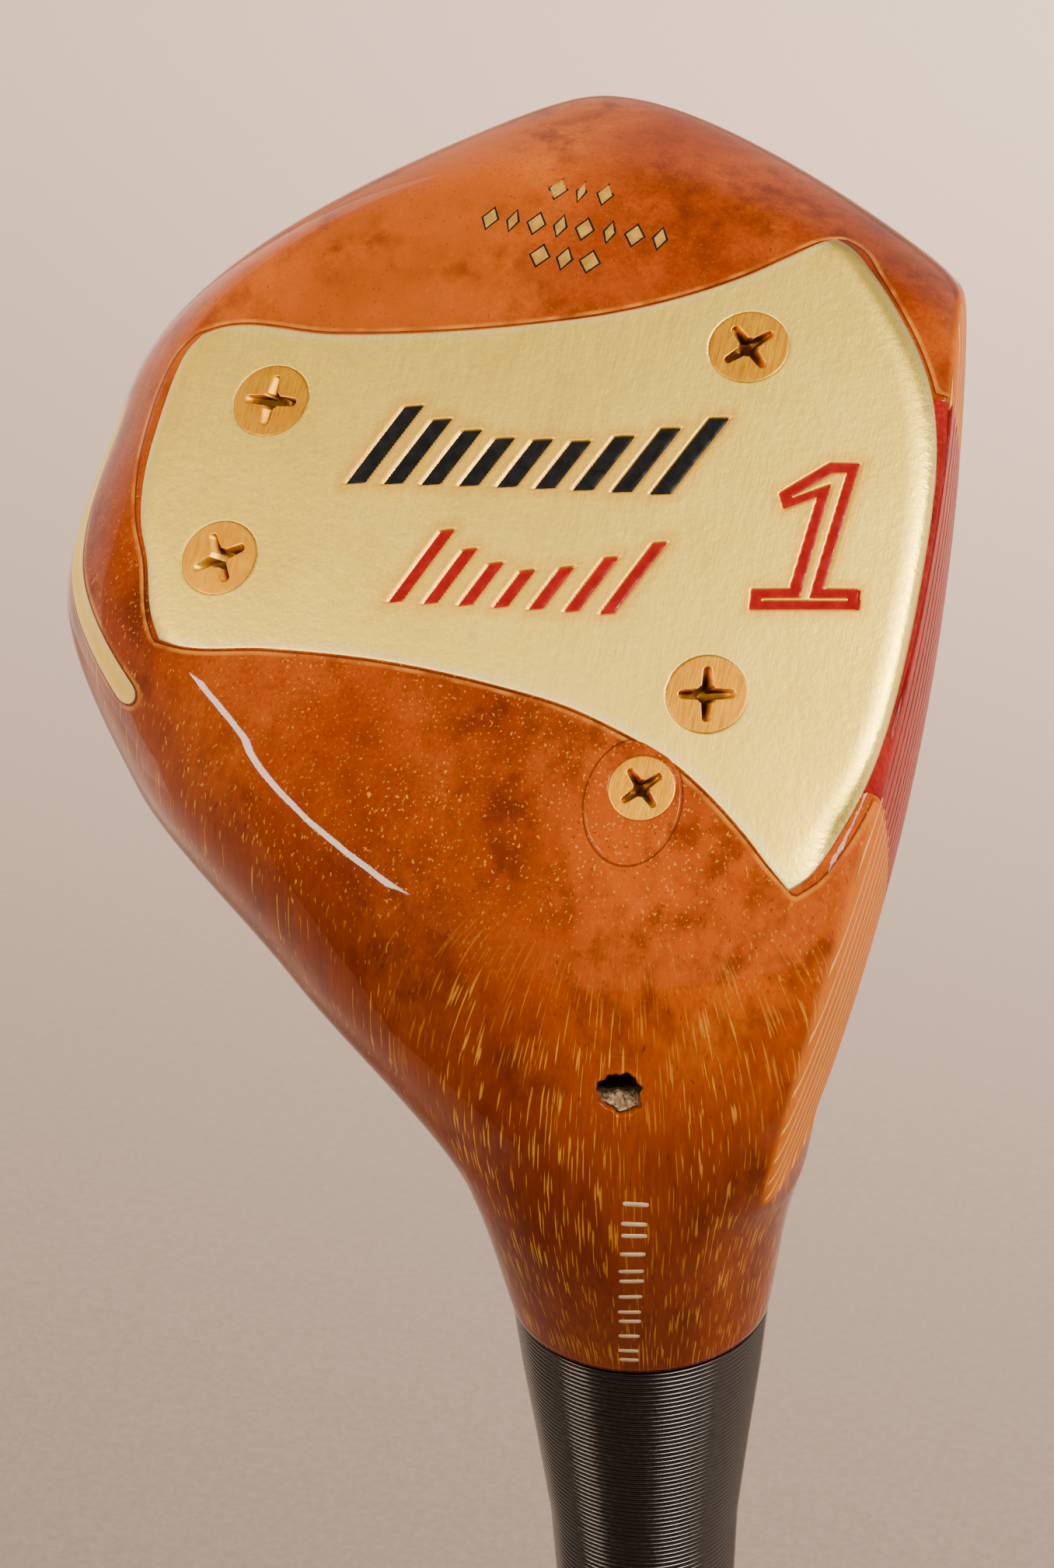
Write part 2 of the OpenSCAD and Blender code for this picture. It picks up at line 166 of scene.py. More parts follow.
def surface(s, angle, lift=0.0):
    """The finished head's surface at distance s along its spine and an angle round it."""
    s, angle = np.broadcast_arrays(np.asarray(s, float), np.asarray(angle, float))
    q, mid, down = spine(s)
    back, front, top, under = (
        curve(values, s) * np.sqrt(1 - q * q) * (1 - slim * q * q)
        for values, slim in ((BACKS, 0.6), (FRONTS, 0.4), (TOPS, 0.45), (UNDERS, 0.45)))
    n = curve(SQUARES, s)
    turn = np.clip(s / BEND_R, 0, LIE)
    up = np.maximum(0, s - BEND_LEN)
    c, w = np.cos(angle), np.sin(angle)
    wide, tall = np.where(c > 0, front, back), np.where(w > 0, top, under)
    r = (np.abs(c / wide) ** n + np.abs(w / tall) ** n) ** (-1 / n)
    t = PIVOT_T - np.minimum(0, s) - down * np.sin(turn) - up * COS
    z = -(PIVOT_U - down * np.cos(turn) + up * SIN)
    origin = np.stack([mid, t, z], -1)
    ray = np.stack([c, w * np.sin(turn), -w * np.cos(turn)], -1)
    face = to_ball(origin, ray, FACE_CENTRE, FACE_R) + 8 * ramp(s, BEND_LEN - 6, BEND_LEN + 12)
    sole = to_ball(origin, ray, SOLE_CENTRE, SOLE_R)
    rear = np.clip(-c, 0, 1) ** 2
    crisp = SOLE_SOFT + 30 * rear * (1 - q) + 26 * ramp(c, 0.2, 0.8)
    r = (r**-FACE_SOFT + face**-FACE_SOFT) ** (-1 / FACE_SOFT)
    r = (r**-crisp + sole**-crisp) ** (-1 / crisp)
    return origin + ray * (r + lift)[..., None]


def slide(points, lift=0.0):
    """Moves points near the head on to its surface, along their rays from the spine."""
    x, t, u = points[..., 0], points[..., 1], -points[..., 2]
    turn = np.where(t < PIVOT_T, np.clip(np.arctan2(PIVOT_T - t, PIVOT_U - u), 0, LIE), 0)
    s = np.where(t < PIVOT_T, turn * BEND_R, PIVOT_T - t)
    d = (PIVOT_T - t) * np.sin(turn) + (PIVOT_U - u) * np.cos(turn)
    d = np.where(t < PIVOT_T, d, PIVOT_U - u)
    up = np.where(turn >= LIE, (PIVOT_T - t) * COS - (PIVOT_U - u) * SIN, 0)
    s = s + np.maximum(up, 0)
    _, mid, down = spine(s)
    return surface(s, np.arctan2(down - d, x - mid), lift)


def skirt_place(t, u):
    """The place on the rear skirt at the given distance toeward and height."""
    x = np.full(np.shape(t), -64.0)
    for _ in range(8):
        guess = np.stack([x, t, -u], -1)
        miss = slide(guess) - guess
        x = x + miss[..., 0] - miss[..., 2] * 0.9
    return np.stack([x, t, -u], -1)


# ---------------------------------------------------------------- outlines, in mm
TAIL = [(-52.6, -18.9), (-53.7, -17), (-55.9, -10.3), (-57.6, -6.8), (-58.9, -2.3), (-59.6, 3.5),
        (-59.3, 9.9), (-58.4, 13), (-56.9, 15)]
HEEL = [(-52.6, -18.9), (-50.4, -19.4), (-40, -18.9), (-28, -18.8), (-16, -19.8), (-8, -21),
        (-2.9, -22.5), (3, -24.8), (7.3, -27.5), (11.3, -30.6), (14.5, -33.4), (17.2, -35.4)]
TOE = [(-56.9, 15), (-54.6, 15.9), (-42, 16.1), (-31.8, 17.3), (-21.2, 19.5), (-14.3, 21.5),
       (-9.1, 23.6), (-4.5, 26), (-1.2, 28.1), (2.4, 30.9), (5.4, 33.2), (7.2, 34.1)]
FRONT = [(17.2, -35.4), (19.1, -33.5), (20.5, -30.8), (21.9, -27), (22.8, -23.2), (23.5, -17.8),
         (23.8, -11), (23.7, -3), (23.2, 4.2), (22.5, 9.2), (21.3, 14.3), (19.6, 18.9), (17.4, 22.8),
         (14.5, 26.8), (11.4, 30.6), (9, 33.4), (7.2, 34.1)]
NUMERAL_OUT = [(7.2, -8), (17.6, -6.1), (17.3, -4), (13.9, -4.6), (14.6, 9.2), (11.6, 8.7),
               (7.4, 4.6), (8.2, 3), (11.2, 4.9), (10.6, -5.2), (6.9, -5.9)]
NUMERAL_IN = [(8.2, -6.9), (16.5, -5.4), (16.4, -5.1), (12.7, -5.8), (13.5, 8), (12.1, 7.7),
              (8.8, 4.5), (8.9, 4.4), (12.3, 6.5), (11.8, -5.9), (8.1, -6.6)]
PLATE_SCREWS = [(-46.7, 7.9, 0), (0.8, 19.9, 45), (-47.7, -9.7, 30), (4.9, -17.3, 10)]
PLUG_SCREW = (0.6, -27.7, 45)
PLUG_R = 4.8


def smooth_line(points, count):
    """Points at equal steps along a smooth curve through the given ones."""
    p = np.asarray(points, float)
    p = np.vstack([2 * p[0] - p[1], p, 2 * p[-1] - p[-2]])
    k = np.cumsum(np.r_[0, np.linalg.norm(np.diff(p, axis=0), axis=1)])
    d = np.gradient(p, k, axis=0)
    w = np.linspace(0, 1, 24, endpoint=False)[:, None]
    runs = [hermite(w, k[i + 1] - k[i], p[i], p[i + 1], d[i], d[i + 1]) for i in range(1, len(p) - 2)]
    return along(np.vstack([*runs, p[-2]]), np.linspace(0, 1, count))


def along(line, shares):
    """Points of a polyline at the given shares of its length."""
    k = np.cumsum(np.r_[0, np.linalg.norm(np.diff(line, axis=0), axis=1)])
    return np.stack([np.interp(shares * k[-1], k, line[:, i]) for i in range(line.shape[1])], -1)


def outside(points, polygon):
    """Signed distance of 2-D points to a polygon, negative inside."""
    a = np.asarray(polygon, float)
    b = np.roll(a, -1, 0)
    best = np.full(points.shape[:-1], 1e9)
    inside = np.zeros(points.shape[:-1], bool)
    for p, q in zip(a, b):
        rel, edge = points - p, q - p
        w = np.clip((rel @ edge) / max(edge @ edge, 1e-9), 0, 1)
        best = np.minimum(best, np.linalg.norm(rel - w[..., None] * edge, axis=-1))
        cross = (p[1] > points[..., 1]) != (q[1] > points[..., 1])
        rise = (q[1] - p[1]) if abs(q[1] - p[1]) > 1e-9 else 1e-9
        inside ^= cross & (points[..., 0] < (q[0] - p[0]) * (points[..., 1] - p[1]) / rise + p[0])
    return np.where(inside, -best, best)


def bars(start, rise, pitch, width, lean, heights):
    """Outlines of a row of slanted bars."""
    out = []
    for i, h in enumerate(heights):
        x, t = start[0] + i * pitch, start[1] + i * rise
        out.append([(x, t), (x + width, t + 0.4), (x + width + lean * h, t + h), (x + lean * h, t + h - 0.4)])
    return out


BLACK_BARS = bars((-36.5, -0.5), 0.36, 3.9, 2.1, 0.42, [9.5, 8, 6.8, 6, 6, 6, 6.8, 8, 9.5])
RED_BARS = bars((-29, -12.6), 0.28, 3.6, 1.5, 0.42, [8.6, 6.6, 5.2, 4.6, 5.2, 6.6, 8.6])


def ink(points, shapes):
    """Signed distance to the nearest of several polygons."""
    best = np.full(points.shape[:-1], 30.0)
    for shape in shapes:
        s = np.asarray(shape)
        near = ((points > s.min(0) - 4) & (points < s.max(0) + 4)).all(-1)
        best[near] = np.minimum(best[near], outside(points[near], shape))
    return best


def numeral_ink(points):
    """Signed distance to the numeral's outlined stroke."""
    return np.maximum(ink(points, [NUMERAL_OUT]), -ink(points, [NUMERAL_IN]))


def ramp(x, low, high):
    """Smooth step from 0 at low to 1 at high."""
    w = np.clip((x - low) / (high - low), 0, 1)
    return w * w * (3 - 2 * w)


# ---------------------------------------------------------------- meshes
class Shell:
    """Collects points, faces and point attributes, then becomes one object."""

    def __init__(self):
        self.points, self.faces, self.attributes, self.count = [], [], {}, 0

    def add(self, points, faces, **attributes):
        """Adds points, faces that number them from 0, and one value or one per point of each attribute."""
        points = np.asarray(points, float).reshape(-1, 3)
        self.points.append(points)
        self.faces += [[self.count + int(i) for i in f] for f in faces]
        for key in set(self.attributes) | set(attributes):
            old = self.attributes.setdefault(key, [np.zeros(self.count)] if self.count else [])
            old.append(np.broadcast_to(attributes.get(key, 0.0), len(points)).astype(float))
        self.count += len(points)
        return self

    def finish(self, name, material, slot, *nodes):
        """Makes the object, links it into the scene and hangs it on the root body, in place of the given CAD
        nodes if any.
        """
        mesh = bpy.data.meshes.new(name)
        mesh.from_pydata(np.vstack(self.points).tolist(), [], self.faces)
        for key, parts in self.attributes.items():
            data = mesh.attributes.new(key, "FLOAT", "POINT").data
            data.foreach_set("value", np.concatenate(parts).astype(np.float32))
        bm = bmesh.new()
        bm.from_mesh(mesh)
        bmesh.ops.recalc_face_normals(bm, faces=bm.faces)
        bm.to_mesh(mesh)
        bm.free()
        mesh.polygons.foreach_set("use_smooth", [True] * len(mesh.polygons))
        mesh.materials.append(material)
        piece = bpy.data.objects.new(name, mesh)
        bpy.context.scene.collection.objects.link(piece)
        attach(piece, "root")
        if nodes:
            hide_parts(*nodes)
        return piece


def grid_faces(rows, cols, wrap=False, twist=0):
    """Quads of a grid; wrap joins the last column to the first, twist rows further on."""
    i, j = np.meshgrid(np.arange(rows - 1), np.arange(cols if wrap else cols - 1), indexing="ij")
    nxt = (j + 1) % cols
    shift = np.where(j + 1 == cols, twist, 0)
    keep = (i + 1 + shift) < rows
    quads = np.stack([i * cols + j, (i + shift) * cols + nxt, (i + 1 + shift) * cols + nxt,
                      (i + 1) * cols + j], -1)
    return quads[keep].reshape(-1, 4).tolist()


def fan(first, count, middle):
    """Triangles that join a ring of points to a middle one."""
    return [[first + i, first + (i + 1) % count, middle] for i in range(count)]


def around(radius, angle, height):
    """Points round the shaft's axis, in mm."""
    return np.stack(np.broadcast_arrays(radius * np.cos(angle), radius * np.sin(angle), height), -1)


def full_turn(count):
    """Angles at equal steps round a circle."""
    return np.linspace(0, 2 * np.pi, count, endpoint=False)


def padded(values, points, rest):
    """Flat values for the first points, and one value for the others."""
    return np.r_[np.ravel(values), np.full(len(points) - np.size(values), float(rest))]


def fine_shares(count, length):
    """Shares from 0 to 1 of a length in mm, with extra lines close to both ends for a rounded rim."""
    e = np.array([0.0, 0.07, 0.15, 0.25, 0.36, 0.5, 0.7]) / length
    return np.r_[e, np.linspace(e[-1], 1 - e[-1], count)[1:-1], 1 - e[::-1]]


def patch(bottom, top, left, right, rows, cols):
    """A grid that fills four joined curves, each point's distance to the rim, the left and the right."""
    width = np.linalg.norm(np.diff(bottom, axis=0), axis=1).sum()
    height = np.linalg.norm(np.diff(right, axis=0), axis=1).sum()
    u, v = fine_shares(cols, width), fine_shares(rows, height)
    b, t, l, r = along(bottom, u), along(top, u), along(left, v), along(right, v)
    U, V = u[None, :, None], v[:, None, None]
    x = (1 - V) * b[None] + V * t[None] + (1 - U) * l[:, None] + U * r[:, None]
    x -= (1 - U) * (1 - V) * b[0] + U * (1 - V) * b[-1] + (1 - U) * V * t[0] + U * V * t[-1]
    a = np.zeros(x.shape[:2])
    a[:, 1:] = np.cumsum(np.linalg.norm(np.diff(x, axis=1), axis=-1), axis=1)
    c = np.zeros(x.shape[:2])
    c[1:] = np.cumsum(np.linalg.norm(np.diff(x, axis=0), axis=-1), axis=0)
    rim = np.minimum(np.minimum(a, a[:, -1:] - a), np.minimum(c, c[-1:] - c))
    return x, rim, a, a[:, -1:] - a


def rounded(rim, width, drop):
    """Height of a rounded edge, 0 inside and -drop at the rim."""
    w = np.clip(rim / width, 0, 1)
    return -drop * (1 - np.sqrt(np.maximum(0, 1 - (1 - w) ** 2)))


def slab(shell, x, lift, depth, **attributes):
    """Adds a patch with its side walls and a closed underside."""
    rows, cols = x.shape[:2]
    top = slide(x, lift)
    ring = np.r_[0:cols, cols * np.arange(1, rows) + cols - 1,
                 cols * (rows - 1) + np.arange(cols - 2, -1, -1), cols * np.arange(rows - 2, 0, -1)]
    edge, low = x.reshape(-1, 3)[ring], lift.reshape(-1)[ring]
    flat = {k: np.broadcast_to(v, x.shape[:2]).reshape(-1) for k, v in attributes.items()}
    shell.add(row(top.reshape(-1, 3)), grid_faces(rows, cols), **flat)
    walls = np.stack([slide(edge, low), slide(edge, low - 0.03), slide(edge, np.full(len(edge), -depth))])
    n = len(edge)
    points = np.vstack([walls.reshape(-1, 3), walls[2].mean(0)])
    faces = grid_faces(3, n, wrap=True) + fan(2 * n, n, 3 * n)
    ends = {k: np.r_[np.tile(v[ring], 3), v[ring].mean()] for k, v in flat.items()}
    shell.add(row(points), faces, **ends)
    return shell


def disc(radii, count):
    """A round grid: offsets, faces and radius of each point. The centre is the first point."""
    xy = around(radii[:, None], full_turn(count), 0)[..., :2].reshape(-1, 2)
    faces = fan(1, count, 0) + [[1 + i for i in f] for f in grid_faces(len(radii), count, wrap=True)]
    return np.vstack([[0, 0], xy]), faces


def up_club(length):
    """Height in mm of a place that far from the ground line along the shaft."""
    return CLUB_LENGTH - length


def box_mm(node):
    """Bottom, top and radius in mm of a CAD node that is centred on the shaft."""
    low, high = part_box(node)
    return low.z * 1000, high.z * 1000, high.x * 1000


# ---------------------------------------------------------------- materials
class Nodes:
    """A material's node tree, written as nested calls."""

    def __init__(self, name):
        self.material = bpy.data.materials.new(name)
        self.material.use_nodes = True
        self.tree = self.material.node_tree
        self.shader = self.tree.nodes["Principled BSDF"]
        self.place = self.new("TexCoord").outputs["Object"]

    def new(self, kind, inputs=(), **settings):
        """Adds a node, with values or sockets for its inputs and settings for its properties."""
        n = self.tree.nodes.new("ShaderNode" + kind)
        for key, value in settings.items():
            setattr(n, key, value)
        for key, value in dict(inputs).items():
            self.put(n.inputs[key], value)
        return n

    def put(self, socket, value):
        """Links a socket to an input, or sets the input's own value."""
        if isinstance(value, bpy.types.NodeSocket):
            self.tree.links.new(value, socket)
        elif socket.type == "RGBA" and len(value) == 3:
            socket.default_value = (*value, 1)
        else:
            socket.default_value = value

    def set(self, **inputs):
        """Puts values or sockets into the surface shader."""
        for key, value in inputs.items():
            self.put(self.shader.inputs[key.replace("_", " ")], value)

    def scaled(self, x, y, z, turn=(0, 0, 0)):
        """Object coordinates where one unit is x, y and z millimetres."""
        place = self.place
        if any(turn):
            place = self.new("Mapping", {"Vector": place, "Rotation": turn}).outputs[0]
        return self.new("Mapping", {"Vector": place, "Scale": (1000 / x, 1000 / y, 1000 / z)}).outputs[0]

    def noise(self, vector, detail=3.0, roughness=0.55, distortion=0.0):
        """Noise whose lumps are about one unit of the vector."""
        inputs = {"Vector": vector, "Detail": detail, "Roughness": roughness, "Distortion": distortion}
        return self.new("TexNoise", {**inputs, "Scale": 1.0}).outputs["Fac"]

    def step(self, value, low, high, out_low=0.0, out_high=1.0):
        """Smooth step of a value from out_low at low to out_high at high."""
        inputs = {"Value": value, "From Min": low, "From Max": high, "To Min": out_low, "To Max": out_high}
        return self.new("MapRange", inputs, interpolation_type="SMOOTHSTEP").outputs[0]

    def math(self, kind, a, b=0.0):
        n = self.new("Math", operation=kind)
        self.put(n.inputs[0], a)
        self.put(n.inputs[1], b)
        return n.outputs[0]

    def times(self, *values):
        return functools.reduce(lambda a, b: self.math("MULTIPLY", a, b), values)

    def plus(self, *values):
        return functools.reduce(lambda a, b: self.math("ADD", a, b), values)

    def minus(self, a, b):
        return self.math("SUBTRACT", a, b)

    def vector(self, x, y):
        return self.new("CombineXYZ", {"X": x, "Y": y}).outputs[0]

    def mix(self, share, a, b):
        """Colour a turning to b by a share."""
        n = self.new("Mix", data_type="RGBA")
        self.put(n.inputs[0], share)
        self.put(n.inputs[6], a)
        self.put(n.inputs[7], b)
        return n.outputs[2]

    def colours(self, value, *stops):
        """A colour for a value, by (value, colour) stops in rising order."""
        n = self.new("ValToRGB", {"Fac": value})
        marks = n.color_ramp.elements
        for mark, (position, colour) in zip(marks, (stops[0], stops[-1])):
            mark.position, mark.color = position, (*colour, 1)
        for position, colour in stops[1:-1]:
            marks.new(position).color = (*colour, 1)
        return n.outputs[0]

    def attribute(self, name):
        return self.new("Attribute", attribute_name=name).outputs["Fac"]

    def part(self, axis):
        """One object coordinate in millimetres."""
        out = self.new("SeparateXYZ", {"Vector": self.place}).outputs[axis]
        return self.times(out, 1000.0)

    def bump(self, height, distance, strength=1.0, normal=None):
        """A normal bent by a height, where 1 is the distance in millimetres."""
        inputs = {"Height": height, "Distance": distance / 1000, "Strength": strength}
        if normal:
            inputs["Normal"] = normal
        return self.new("Bump", inputs).outputs[0]


def wood_stain(m, height, side):
    """The stain: figured wood, darker towards the neck, redder at the toe, mottled in places; painted shade
    darkens the rear and a painted light patch lightens the middle.
    """
    broad = m.noise(m.scaled(16, 16, 42), 3, 0.5, 0.4)
    figure = m.noise(m.scaled(2.4, 2.4, 46), 4, 0.6, 0.25)
    fine = m.noise(m.scaled(0.42, 0.42, 12), 3, 0.6)
    tone = m.plus(m.times(broad, 0.75), m.times(figure, 0.25))
    base = m.colours(tone, (0.30, (0.15, 0.016, 0.0010)), (0.44, (0.32, 0.042, 0.0018)),
                     (0.58, (0.47, 0.074, 0.0028)), (0.74, (0.64, 0.130, 0.0060)))
    base = m.mix(m.step(fine, 0.35, 0.65, 0.28, 0.0), base, (0.14, 0.020, 0.003))
    neck = m.step(height, 1030, 1096, 0.56, 0.0)
    base = m.mix(neck, base, (0.12, 0.018, 0.0020))
    toe = m.times(m.step(height, 1098, 1114), m.step(side, -14, -34, 0.0, 0.38))
    base = m.mix(toe, base, (0.84, 0.180, 0.009))
    # painted shade: the rear is darkened, where less of the key light falls
    rear = m.times(m.step(side, 0, -18, 0.0, 0.48), m.step(height, 1098, 1072))
    base = m.mix(rear, base, (0.13, 0.018, 0.0016))
    # painted light: a lighter patch across the middle, where the key light falls strongly
    painted_light_patch = m.times(m.step(side, -16, 4, 0.0, 0.40), m.step(height, 1070, 1080), m.step(height, 1100, 1086))
    base = m.mix(painted_light_patch, base, (0.86, 0.145, 0.004))
    blotch = m.noise(m.scaled(2.8, 2.8, 4.4), 4, 0.6)
    where = m.noise(m.scaled(14, 14, 20), 3, 0.6)
    mottle = m.times(m.step(blotch, 0.38, 0.68), m.step(where, 0.44, 0.62, 0.0, 0.62))
    return m.mix(mottle, base, (0.10, 0.012, 0.002)), fine


def wood_pores(m, base, height, side):
    """Pores: gold filler that shows as dots on the sole and streaks round the neck, and a few dark ones."""
    dots = m.step(m.noise(m.scaled(0.30, 0.30, 12), 1.5, 0.5), 0.64, 0.69)
    level = m.part("Y")
    neck_place = m.vector(m.times(m.math("ARCTAN2", level, side), 13 / 0.155), m.times(height, 1 / 4.6))
    streaks = m.step(m.noise(neck_place, 1.0, 0.5), 0.60, 0.66)
    off_axis = m.new("VectorMath", {"Vector": m.vector(side, level)}, operation="LENGTH").outputs["Value"]
    on_neck = m.times(m.step(height, 1084, 1071), m.step(off_axis, 27, 20))
    pores = m.plus(m.times(dots, m.minus(1.0, on_neck)), m.times(streaks, on_neck))
    many = m.step(m.noise(m.scaled(7, 7, 30), 2), 0.36, 0.62, 0.4, 1.0)
    sole_fade = m.step(height, 1090, 1118, 1.0, 0.15)
    base = m.mix(m.times(pores, many, sole_fade, 0.78), base, (0.78, 0.34, 0.026))
    dark = m.step(m.noise(m.scaled(0.3, 0.3, 14), 1.5), 0.67, 0.72, 0.0, 0.55)
    return m.mix(dark, base, (0.07, 0.012, 0.002))


def wood_seams(m, base):
    """A dark hairline along each inlay, and beside it a warm line that is partly worn finish and partly
    painted highlight where the lacquer rounds over the joint.
    """
    seam = m.attribute("seam")
    patchy = m.step(m.noise(m.scaled(3.5, 3.5, 3.5), 2), 0.35, 0.65, 0.15, 0.8)
    # warm line just outside each inlay: worn finish and a painted highlight of the lacquer's edge
    wear_and_highlight = m.times(m.step(seam, 0.1, 0.2), m.step(seam, 0.7, 0.35), patchy)
    base = m.mix(wear_and_highlight, base, (0.80, 0.26, 0.02))
    edge, plug_edge = (m.math("ABSOLUTE", m.minus(gap, 0.06)) for gap in (seam, m.attribute("ring")))
    hair = m.step(m.math("MINIMUM", edge, plug_edge), 0.05, 0.13, 0.65, 0.0)
    return m.mix(hair, base, (0.04, 0.008, 0.002))


def wood_face(m, base):
    """Paler wood on the face, with score lines that run on from the insert across it."""
    lines = m.plus(m.math("DIVIDE", m.attribute("face_x"), SCORE_PITCH), 100.5)
    from_line = m.math("ABSOLUTE", m.minus(m.math("FRACT", lines), 0.5))
    ahead = m.attribute("face_z")
    on_face = m.times(m.step(ahead, -0.42, -0.30), m.step(ahead, 0.6, 0.3))
    groove = m.times(m.step(from_line, 0.115, 0.085), on_face)
    base = m.mix(m.step(ahead, -0.9, -0.1, 0.0, 0.55), base, (0.92, 0.25, 0.018))
    return m.mix(m.times(groove, 0.95), base, (1.0, 0.46, 0.12)), ahead, groove


def persimmon():
    """Stained, lacquered wood, whose grain follows the neck, with bare torn wood at the pin's hole and
    painted shade down inside it.
    """
    m = Nodes("persimmon_lacquered")
    height, side = m.part("Z"), m.part("X")
    base, fine = wood_stain(m, height, side)
    base = wood_seams(m, wood_pores(m, base, height, side))
    base, ahead, groove = wood_face(m, base)
    pit, fluff = m.attribute("pit"), m.attribute("fluff")
    raw = m.noise(m.scaled(0.35, 0.35, 1.6), 3)
    # painted shade: the inside of the pin's hole is near black
    base = m.mix(pit, base, m.colours(raw, (0.4, (0.006, 0.004, 0.003)), (0.75, (0.06, 0.03, 0.015))))
    base = m.mix(fluff, base, m.colours(raw, (0.35, (0.09, 0.045, 0.02)), (0.65, (0.58, 0.38, 0.21))))
    coat = m.times(m.step(ahead, -1.4, -0.2, 1.0, 0.12), m.step(m.plus(pit, fluff), 0.5, 0.05))
    wear = m.noise(m.scaled(5, 5, 5), 5, 0.7)
    relief = m.times(groove, -1.0)
    ripple = m.bump(m.noise(m.scaled(9, 9, 16), 2), 0.16, 0.35)
    m.set(Base_Color=base, Roughness=m.step(wear, 0.3, 0.7, 0.34, 0.46), Specular_IOR_Level=0.0,
          Coat_Weight=coat, Coat_Roughness=0.03, Coat_IOR=1.28,
          Normal=m.bump(relief, 0.35, 1.0, m.bump(fine, 0.02, 0.4)),
          Coat_Normal=m.bump(relief, 0.3, 0.9, ripple))
    return m.material


def plate_brass():
    """Satin brass, brushed from heel to toe, with old scratches and warm tarnish round the engraving."""
    m = Nodes("brass_satin")
    brushed = m.noise(m.scaled(0.10, 3.2, 3.2, SOLE_TILT), 3, 0.6)
    cloud = m.noise(m.scaled(11, 11, 11), 4, 0.6)
    speck = m.noise(m.scaled(0.55, 0.55, 0.55), 3, 0.7)
    base = m.colours(cloud, (0.30, (0.94, 0.65, 0.085)), (0.55, (0.99, 0.70, 0.100)),
                     (0.75, (1.0, 0.74, 0.13)))
    base = m.mix(m.step(m.attribute("ink"), 1.7, 0.1, 0.0, 0.85), base, (0.92, 0.50, 0.045))
    # paler towards the rim: brass worn bright at its edge, and a painted highlight along the bevel
    base = m.mix(m.step(m.attribute("rim"), 1.6, 0.2, 0.0, 0.35), base, (0.93, 0.84, 0.50))
    stain = m.step(m.noise(m.scaled(2.6, 2.6, 2.6), 4, 0.6), 0.62, 0.78, 0.0, 0.5)
    base = m.mix(stain, base, (0.66, 0.42, 0.12))
    base = m.mix(m.step(speck, 0.70, 0.78, 0.0, 0.45), base, (0.30, 0.22, 0.08))
    nicks = m.new("TexWave", {"Vector": m.scaled(23, 17, 19, (0.4, 0.2, 0.9)), "Scale": 1.0,
                              "Distortion": 9.0, "Detail": 3.0, "Detail Scale": 0.4}).outputs["Fac"]
    thin = m.step(m.noise(m.scaled(0.25, 9, 9, (SOLE_TILT[0], 0.0, 0.7)), 2), 0.735, 0.76)
    roll = m.attribute("roll")
    rough = m.plus(m.step(brushed, 0.3, 0.7, 0.46, 0.54), m.step(roll, -0.05, -0.45, 0.0, -0.22))
    scuffs = m.plus(brushed, m.times(thin, -1.2))
    pebble = m.noise(m.scaled(0.9, 0.9, 0.9), 2.5, 0.6)
    grain = m.plus(speck, m.times(pebble, 1.6), m.times(nicks, 0.5))
    normal = m.bump(scuffs, 0.014, 0.9, m.bump(grain, 0.030, 0.9, m.bump(roll, 1.0)))
    m.set(Base_Color=base, Metallic=1.0, Roughness=rough, Normal=normal)
    return m.material


def screw_brass():
    """Plain yellow brass with file marks, darkened deep in the recess by painted shade with some grime."""
    m = Nodes("brass_screw")
    filed = m.noise(m.scaled(0.09, 2.5, 2.5, SOLE_TILT), 3, 0.6)
    cloud = m.noise(m.scaled(2.2, 2.2, 2.2), 3, 0.6)
    base = m.colours(cloud, (0.3, (0.92, 0.34, 0.004)), (0.6, (0.98, 0.44, 0.007)), (0.8, (1.0, 0.55, 0.03)))
    # painted shade with some grime: darker the deeper the recess
    shade_and_grime = m.step(m.attribute("deep"), 0.2, 1.1)
    base = m.mix(m.times(shade_and_grime, 0.9), base, (0.060, 0.024, 0.006))
    base = m.mix(m.step(m.attribute("rim"), 0.28, 0.05, 0.0, 0.75), base, (0.16, 0.09, 0.02))
    m.set(Base_Color=base, Metallic=1.0, Roughness=m.step(filed, 0.3, 0.7, 0.34, 0.50),
          Normal=m.bump(filed, 0.014, 0.8))
    return m.material


def enamel(name, dark, light):
    """Thick glossy paint that has settled unevenly in its engraving."""
    m = Nodes(name)
    cloud = m.noise(m.scaled(1.3, 1.3, 1.3), 3, 0.6)
    base = m.colours(cloud, (0.35, dark), (0.7, light))
    normal = m.bump(m.noise(m.scaled(1.1, 1.1, 1.1), 2), 0.05, 0.5)
    m.set(Base_Color=base, Roughness=m.step(cloud, 0.3, 0.7, 0.14, 0.28), Specular_IOR_Level=0.2,
          Coat_Weight=0.3, Coat_Roughness=0.05, Normal=normal, Coat_Normal=normal)
    return m.material


def fibre():
    """Red fibre board, polished under lacquer, with painted shade down in the score lines."""
    m = Nodes("fibre_red")
    weave = m.noise(m.scaled(0.5, 0.5, 4), 4, 0.65)
    cloud = m.noise(m.scaled(6, 6, 6), 3)
    base = m.colours(cloud, (0.3, (0.24, 0.006, 0.005)), (0.7, (0.40, 0.014, 0.010)))
    base = m.mix(m.step(weave, 0.4, 0.7, 0.0, 0.35), base, (0.60, 0.06, 0.035))
    # painted shade: darker deep in the score lines
    base = m.mix(m.step(m.attribute("deep"), 0.12, 0.32, 0.0, 0.75), base, (0.07, 0.012, 0.010))
    m.set(Base_Color=base, Roughness=m.step(weave, 0.3, 0.7, 0.3, 0.42), Specular_IOR_Level=0.0,
          Coat_Weight=0.35, Coat_Roughness=0.05, Coat_IOR=1.3, Normal=m.bump(weave, 0.02, 0.6))
    return m.material


